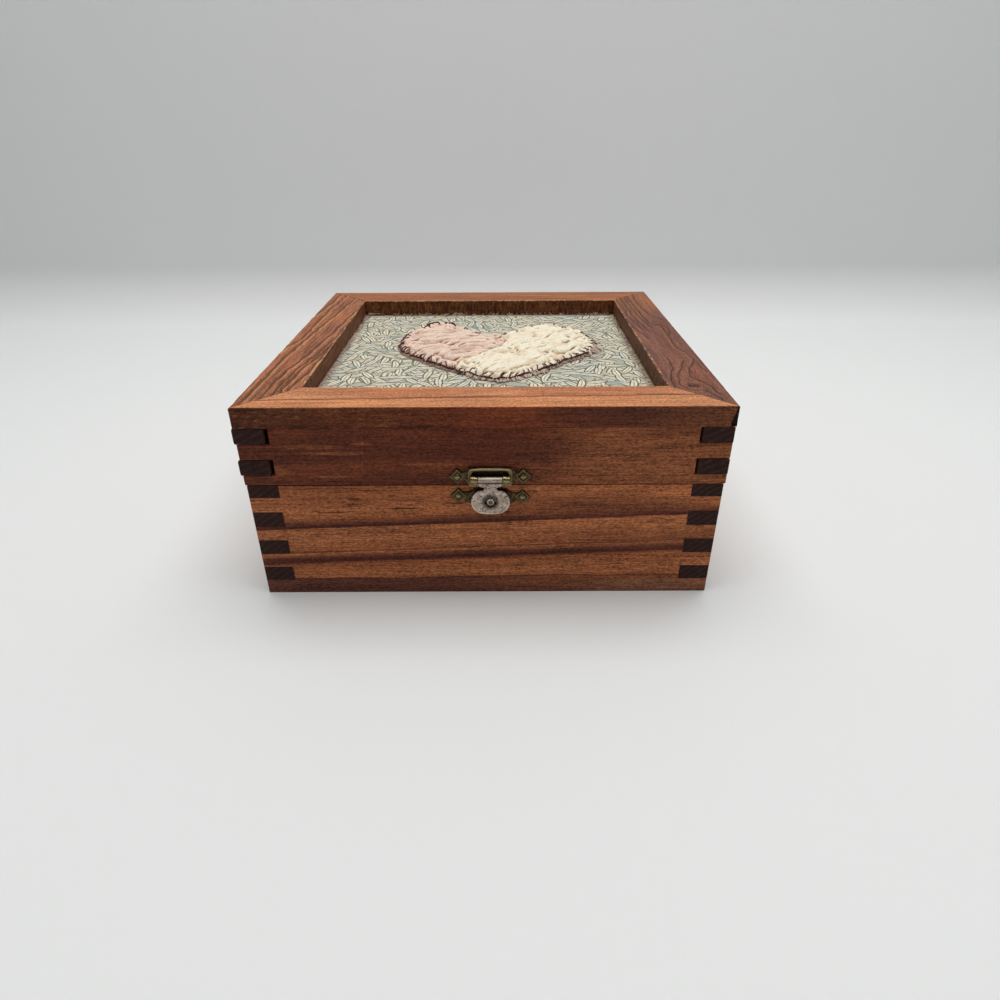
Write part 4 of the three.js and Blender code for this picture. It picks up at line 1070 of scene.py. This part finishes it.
def antiqued_brass(name, lift=0.0):
    """Brass by its height off the wood: black-brown below, olive on the sheet, and pale gold where the
    rims and nail heads are rubbed; blotched, with small pits. The catch's well is painted near black
    as painted shade, and the keeper's top, just under the catch, as a painted shadow."""
    finish = Finish(name, roughness=0.3, metallic=1.0)
    off = abs(finish.xyz[1]) - (WOOD_FACE - lift)
    rub = finish.noise(1.3, 401, detail=4.0, rough=0.6)
    pits = finish.noise(0.4, 402, detail=3.0)
    level = off + (rub - 0.5) * 1.3
    colour = finish.ramp(level, [(0.2, rgb(30, 22, 15)), (0.72, rgb(52, 40, 26)), (0.92, rgb(92, 76, 49)),
                                 (1.12, rgb(120, 102, 68)), (1.7, rgb(152, 134, 98))])
    colour = finish.mix(pits.rise(0.56, 0.7) * 0.65, colour, rgb(30, 22, 14))
    x, y, z = finish.xyz
    # Painted shade in the catch's well, above the barrel.
    well = abs(x - CATCH_X).rise(8.6, 8.0) * abs(z - CATCH_Z).rise(3.5, 2.8) * off.rise(1.3, 0.9)
    colour = finish.mix(well * 0.85, colour, rgb(20, 15, 11))
    # Painted shadow on the keeper's top, under the catch and flap.
    keeper_shadow = z.rise(51.8, 54.4) * z.rise(57.4, 56.4) * y.rise(0, -9) * off.rise(1.3, 1.0)
    colour = finish.mix(keeper_shadow * 0.7, colour, rgb(24, 17, 14))
    return finish.coat(colour, rub - pits.rise(0.52, 0.7) * 0.6, 0.07, pits * 0.3 + 0.14)


def worn_nickel(name, bright, dull, seed, darkening=0.0, gleam=rgb(250, 232, 216)):
    """Worn plating: grey with a warm cast, dull clouds and many dark pits, darker round the hole, with
    painted shade in the crease below the barrel. Where the worn value rises it is a
    painted highlight, pale and matt."""
    finish = Finish(name, roughness=0.4, metallic=1.0)
    rub = finish.noise(2.2, seed, detail=4.0, rough=0.65)
    pits = finish.noise(0.5, seed + 1, detail=2.0)
    colour = finish.ramp(rub, [(0.32, dull), (0.62, bright)])
    colour = finish.mix(pits.rise(0.53, 0.62) * 0.75, colour, rgb(48, 40, 35))
    # Darker round the hole.
    hole_darkening = finish.spot((CATCH_X, HOLE_Z + 0.4), (5.2, 5.2)) + (rub - 0.5) * 0.9
    colour = finish.mix(hole_darkening.rise(0.3, 0.75) * darkening, colour, rgb(44, 36, 31))
    # Painted shade: a dark line in the crease at the foot of the barrel.
    groove = (finish.xyz[2] - BARREL_FOOT).line(0.1, 0.4)
    colour = finish.mix(groove * darkening, colour, rgb(40, 32, 28))
    # Painted highlight: a pale matt colour, with less metal, where the lamp's highlight would fall.
    worn = finish.value("worn")
    colour = finish.mix(worn * 0.9, colour, gleam)
    finish.tree.links.new((worn * 0.8).flip().socket, finish.shader.inputs["Metallic"])
    return finish.coat(colour, rub - pits.rise(0.5, 0.68) * 0.7, 0.07, pits * 0.4 + 0.24)


def pressed_plate(outline, inner, back, front, edge=0.45):
    """A pressed sheet between an outer outline and an inner one, with matching points: rings across its
    front that fall off round the outer edge, and a flat back. Gives how near each point is to the edge."""
    share = np.concatenate([[0, 0.01], np.linspace(0.06, 0.8, 7), np.linspace(0.84, 1, 9)])[:, None]
    inside = (1 - share) * np.linalg.norm(outline - inner, axis=1)
    fall = edge * (1 - np.sqrt(1 - (1 - np.clip(inside / edge, 0, 1)) ** 2))
    off = front - fall
    off[0] = back
    flat = inner + (outline - inner) * share[..., None]
    top = np.stack([flat[..., 0], -WOOD_FACE - off, flat[..., 1]], -1)
    under = np.stack([flat[[-1, 0], :, 0], 0 * inside[:2] - WOOD_FACE - back, flat[[-1, 0], :, 1]], -1)
    rim = np.concatenate([np.exp(-((inside / 0.55) ** 2)), 0 * inside[:1] + 1, 0 * inside[:1]])
    points = np.concatenate([top, under])
    rows, columns = points.shape[:2]
    return points.reshape(-1, 3), grid_faces(rows, columns, round_columns=True), rim


def turned_rivet(centre, profile, sides=32):
    """A profile of (radius, height off the wood) turned about a line that points out of the front."""
    radius, off = np.array(profile).T
    turn = np.linspace(0, 2 * np.pi, sides, endpoint=False)
    x = centre[0] + radius[:, None] * np.cos(turn)
    z = centre[1] + radius[:, None] * np.sin(turn)
    y = 0 * x - WOOD_FACE - off[:, None]
    faces = grid_faces(len(radius), sides, round_columns=True).tolist()
    faces += [list(range(sides)), list(range((len(radius) - 1) * sides, len(radius) * sides))]
    return np.stack([x, y, z], -1).reshape(-1, 3), faces


brass = antiqued_brass("antiqued brass")
rubbed = worn_nickel("rubbed brass arris", rgb(184, 168, 122), rgb(110, 95, 60), 421)
nickel = worn_nickel("worn nickel", rgb(206, 188, 172), rgb(150, 133, 120), 411, darkening=0.85)
smoky = worn_nickel("smoky nickel", rgb(92, 78, 68), rgb(52, 42, 36), 413)
for node, name, ease, finishes, body, slot in (
    ("keeper_plate", "keeper_sheet", 0.2, [brass, rubbed], "base", "antique_brass"),
    ("catch_plate", "catch_sheet", 0.34, [brass, rubbed], "lid", "antique_brass"),
    ("catch_pin", "catch_wire_pin", 0.05, [brass], "lid", "antique_brass"),
):
    eased_board(node, name, ease, None, finishes, body)
for plate, body in (("catch", "lid"), ("keeper", "base")):
    for side in ("left", "right"):
        eased_board(f"{plate}_nail_{side}", f"{plate}_pin_nail_{side}", 0.1, None, [brass], body)
FLAP_AXIS, FLAP_BACK, FLAP_FRONT = (2.35, 60.0), 1.95, 2.85
TONGUE_HALF = [(0.6, -4.0), (2.6, -4.1), (3.4, -4.9), (5.4, -5.3), (7.3, -7.0), (8.2, -9.7), (8.1, -12.2), (7.0, -14.4),
               (4.8, -16.0), (2.4, -16.5), (0.4, -16.6)]
SHOULDER_HALF = [(0.6, 0.6), (4.7, 0.6), (5.05, 0.0), (5.05, -2.2), (4.5, -3.0), (2.9, -3.7), (2.5, -4.6), (2.4, -6.6),
                 (0.6, -7.2)]


def both_hands(half):
    """A closed outline from the points of its right half, in place on the box."""
    right = through(half, 0.2)
    return np.vstack([right, right[::-1] * [-1, 1]]) + [CATCH_X, FLAP_AXIS[1]]


tongue, shoulder = both_hands(TONGUE_HALF), both_hands(SHOULDER_HALF)
hole = tongue - [CATCH_X, HOLE_Z]
hole = hole / (np.abs(hole).sum(1, keepdims=True) / 2.7) + [CATCH_X, HOLE_Z]
middle = 0 * shoulder + [CATCH_X, FLAP_AXIS[1] - 2.0]
shoulder_core = middle + 0.02 * (shoulder - middle)
for name, outline, inner in (("catch_tongue", tongue, hole), ("catch_shoulder", shoulder, shoulder_core)):
    lower = name == "catch_tongue"
    plate_points, plate_faces, plate_rim = pressed_plate(outline, inner, FLAP_BACK, FLAP_FRONT + 0.03 * (not lower))
    # Painted highlight along the lower rim of the flap's tongue.
    low = lower * np.clip((HOLE_Z + 2 - plate_points[:, 2]) / 3, 0, 1)
    add_piece(name, plate_points, plate_faces, [nickel], "flap", "worn_nickel", ["catch_flap"],
              worn=plate_rim.ravel() * low)
turn, ends = np.linspace(0, 2 * np.pi, 40, endpoint=False), np.array([-5.1, -5.0, 5.0, 5.1])[:, None]
reach = 1.35 - 0.1 * (np.abs(ends) > 5.05)
barrel = np.stack([CATCH_X + ends + 0 * turn, -WOOD_FACE - FLAP_AXIS[0] - reach * np.cos(turn),
                   FLAP_AXIS[1] + reach * np.sin(turn)], -1).reshape(-1, 3)
barrel_faces = grid_faces(4, 40, round_columns=True).tolist() + [list(range(40)), list(range(120, 160))]
# Painted highlight: a pale line along the upper front of the barrel.
add_piece("catch_barrel", barrel, barrel_faces, [nickel], "flap", "worn_nickel", ["catch_flap"],
          worn=np.tile(np.exp(-(((turn - 0.85) / 0.36) ** 2)), 4))
rivet_points, rivet_faces = turned_rivet((CATCH_X, HOLE_Z - 0.4), [(0.4, 1.0), (0.6, 1.15), (0.9, 1.66), (1.2, 1.77),
                                                                  (1.5, 1.74), (1.7, 1.6), (1.78, 1.3), (1.78, 0.8),
                                                                  (1.5, 0.75)])
# Painted highlight: a pale ring on the rivet's crown.
rivet_worn = np.repeat([0, 0, 0.7, 1, 1, 0.6, 0, 0, 0], len(rivet_points) // 9)
add_piece("keeper_rivet", rivet_points, rivet_faces, [smoky], "base", "worn_nickel", ["keeper_knob"], worn=rivet_worn)


def rim_bead(centre, half_wide, half_high, off, radius, power=0.36, steps=140, sides=20):
    """A circle carried round an outline whose sides are the cosine and sine to a power: a small one gives a
    rounded oblong, and two a diamond. Gives a painted highlight too, strongest on the upper front of the bead."""
    turn = np.linspace(0, 2 * np.pi, steps, endpoint=False)
    bow = lambda wave: np.sign(wave) * np.abs(wave) ** power
    path = np.stack([centre[0] + half_wide * bow(np.cos(turn)), 0 * turn - WOOD_FACE - off,
                     centre[1] + half_high * bow(np.sin(turn))], -1)
    ahead = np.roll(path, -1, 0) - np.roll(path, 1, 0)
    ahead /= np.linalg.norm(ahead, axis=1, keepdims=True)
    outward = np.array([0.0, -1.0, 0.0])
    beside = np.cross(ahead, outward)
    ring = np.linspace(0, 2 * np.pi, sides, endpoint=False)[:, None]
    facing = np.cos(ring) * beside[:, None] + np.sin(ring) * outward
    points = path[:, None] + radius * facing
    worn = np.exp(-((np.linalg.norm(facing - [0, -0.68, 0.73], axis=-1) / 0.5) ** 2))
    return points.reshape(-1, 3), grid_faces(steps, sides, round_rows=True, round_columns=True), worn


# The rim bead and the diamond ridges carry a painted highlight on their upper fronts.
bead_points, bead_faces, bead_worn = rim_bead((CATCH_X, CATCH_Z), 8.8, 3.5, 1.15, 0.78)
bead_brass = worn_nickel("brass bead with painted highlight", rgb(112, 94, 58), rgb(60, 47, 28), 431, gleam=rgb(255, 240, 196))
add_piece("catch_rim_bead", bead_points, bead_faces, [bead_brass], "lid", "antique_brass", worn=bead_worn)
for name, body, place, half in (
    ("catch_left_diamond", "lid", (-11.7, 60.7), 2.9), ("catch_right_diamond", "lid", (16.1, 60.7), 2.9),
    ("keeper_left_diamond", "base", (-11.4, 51.66), 2.6), ("keeper_right_diamond", "base", (15.8, 50.94), 2.6),
):
    ridge_points, ridge_faces, ridge_worn = rim_bead(place, half, half, 0.8, 0.32, 2.0, 96, 10)
    add_piece(name, ridge_points, ridge_faces, [bead_brass], body, "antique_brass", worn=0.8 * ridge_worn)

# ---- Hinges
# Two small brass butt hinges on the back, each with two leaves nailed flat to the boards and a
# wire pin through three knuckles.

for side in ("left", "right"):
    hinge = f"hinge_{side}"
    eased_board(f"{hinge}_pin", f"{side}_hinge_wire", 0.05, None, [brass], "base")
    for body in ("base", "lid"):
        eased_board(f"{hinge}_{body}_leaf", f"{side}_hinge_{body}_leaf", 0.2, None, [brass, rubbed], body)
        for hand in ("left", "right"):
            eased_board(f"{hinge}_{body}_nail_{hand}", f"{side}_hinge_{body}_nail_{hand}", 0.1, None, [brass], body)

# ---- Stage, light and camera
# A pale seamless sweep, one large soft light overhead and a little behind the box, a weak one on the
# wall, and a camera above the front edge, looking down.


def sweep(near=-1600.0, bend_at=365.0, radius=52.0, high=1100.0, half=1700.0):
    """A floor that curves up into a wall: a line, a quarter circle and a line, carried along X."""
    turn = np.linspace(0, np.pi / 2, 24)
    y = np.concatenate([[near, -300, 0, 300], bend_at + radius * np.sin(turn), [bend_at + radius]])
    z = np.concatenate([[0, 0, 0, 0], radius - radius * np.cos(turn), [high]])
    x = np.linspace(-half, half, 3)
    points = np.stack([x[None, :] + 0 * y[:, None], y[:, None] + 0 * x, z[:, None] + 0 * x], -1)
    return points.reshape(-1, 3), grid_faces(len(y), 3)


sweep_points, sweep_faces = sweep()
paper_mesh = bpy.data.meshes.new("paper_sweep")
paper_mesh.from_pydata((sweep_points * MM).tolist(), [], sweep_faces[:, ::-1].tolist())
paper_mesh.polygons.foreach_set("use_smooth", np.ones(len(sweep_faces), bool))
paper = Finish("pale paper", roughness=0.8)
paper.shader.inputs["Base Color"].default_value = rgb(233, 235, 235)
paper_mesh.materials.append(paper.material)
paper_sweep = bpy.data.objects.new("paper_sweep", paper_mesh)
bpy.context.scene.collection.objects.link(paper_sweep)


def soft_light(name, place, aim, wide, deep, watts, colour=(1, 1, 1)):
    """A rectangular lamp of wide by deep metres, turned to shine from its place at its aim."""
    lamp = bpy.data.lights.new(name, "AREA")
    lamp.shape, lamp.size, lamp.size_y = "RECTANGLE", wide, deep
    lamp.energy, lamp.color = watts, colour
    light = bpy.data.objects.new(name, lamp)
    light.location = place
    towards = Vector(aim) - Vector(place)
    light.rotation_euler = towards.to_track_quat("-Z", "Y").to_euler()
    bpy.context.scene.collection.objects.link(light)


soft_light("overhead", (0.06, 0.15, 1.35), (0.06, 0.15, 0.0), 1.5, 1.3, 22.5, (1.0, 0.985, 0.965))
soft_light("backdrop", (0.0, 0.62, 0.8), (0.0, 0.5, 0.0), 1.6, 0.3, 2.2)
world = bpy.data.worlds.new("room")
world.use_nodes = True
world.node_tree.nodes["Background"].inputs["Color"].default_value = (0.9, 0.95, 1.0, 1.0)
world.node_tree.nodes["Background"].inputs["Strength"].default_value = 0.12
bpy.context.scene.world = world
bpy.context.scene.view_settings.view_transform = "Standard"

lens = bpy.data.cameras.new("camera")
lens.sensor_width, lens.lens = 36.0, 24.09
lens.clip_start, lens.clip_end = 0.01, 20.0
camera = bpy.data.objects.new("camera", lens)
pitch, yaw, roll = 0.5176, -0.0006, -0.0044
ahead = np.array([math.sin(yaw) * math.cos(pitch), math.cos(yaw) * math.cos(pitch), -math.sin(pitch)])
right = np.array([math.cos(yaw), -math.sin(yaw), 0.0])
above = np.cross(right, ahead)
right, above = (right * math.cos(roll) + above * math.sin(roll), above * math.cos(roll) - right * math.sin(roll))
turned = Matrix.Identity(4)
for row in range(3):
    turned[row][:] = (right[row], above[row], -ahead[row], (0.006405, -0.35136, 0.19124)[row])
camera.matrix_world = turned
bpy.context.scene.collection.objects.link(camera)
bpy.context.scene.camera = camera
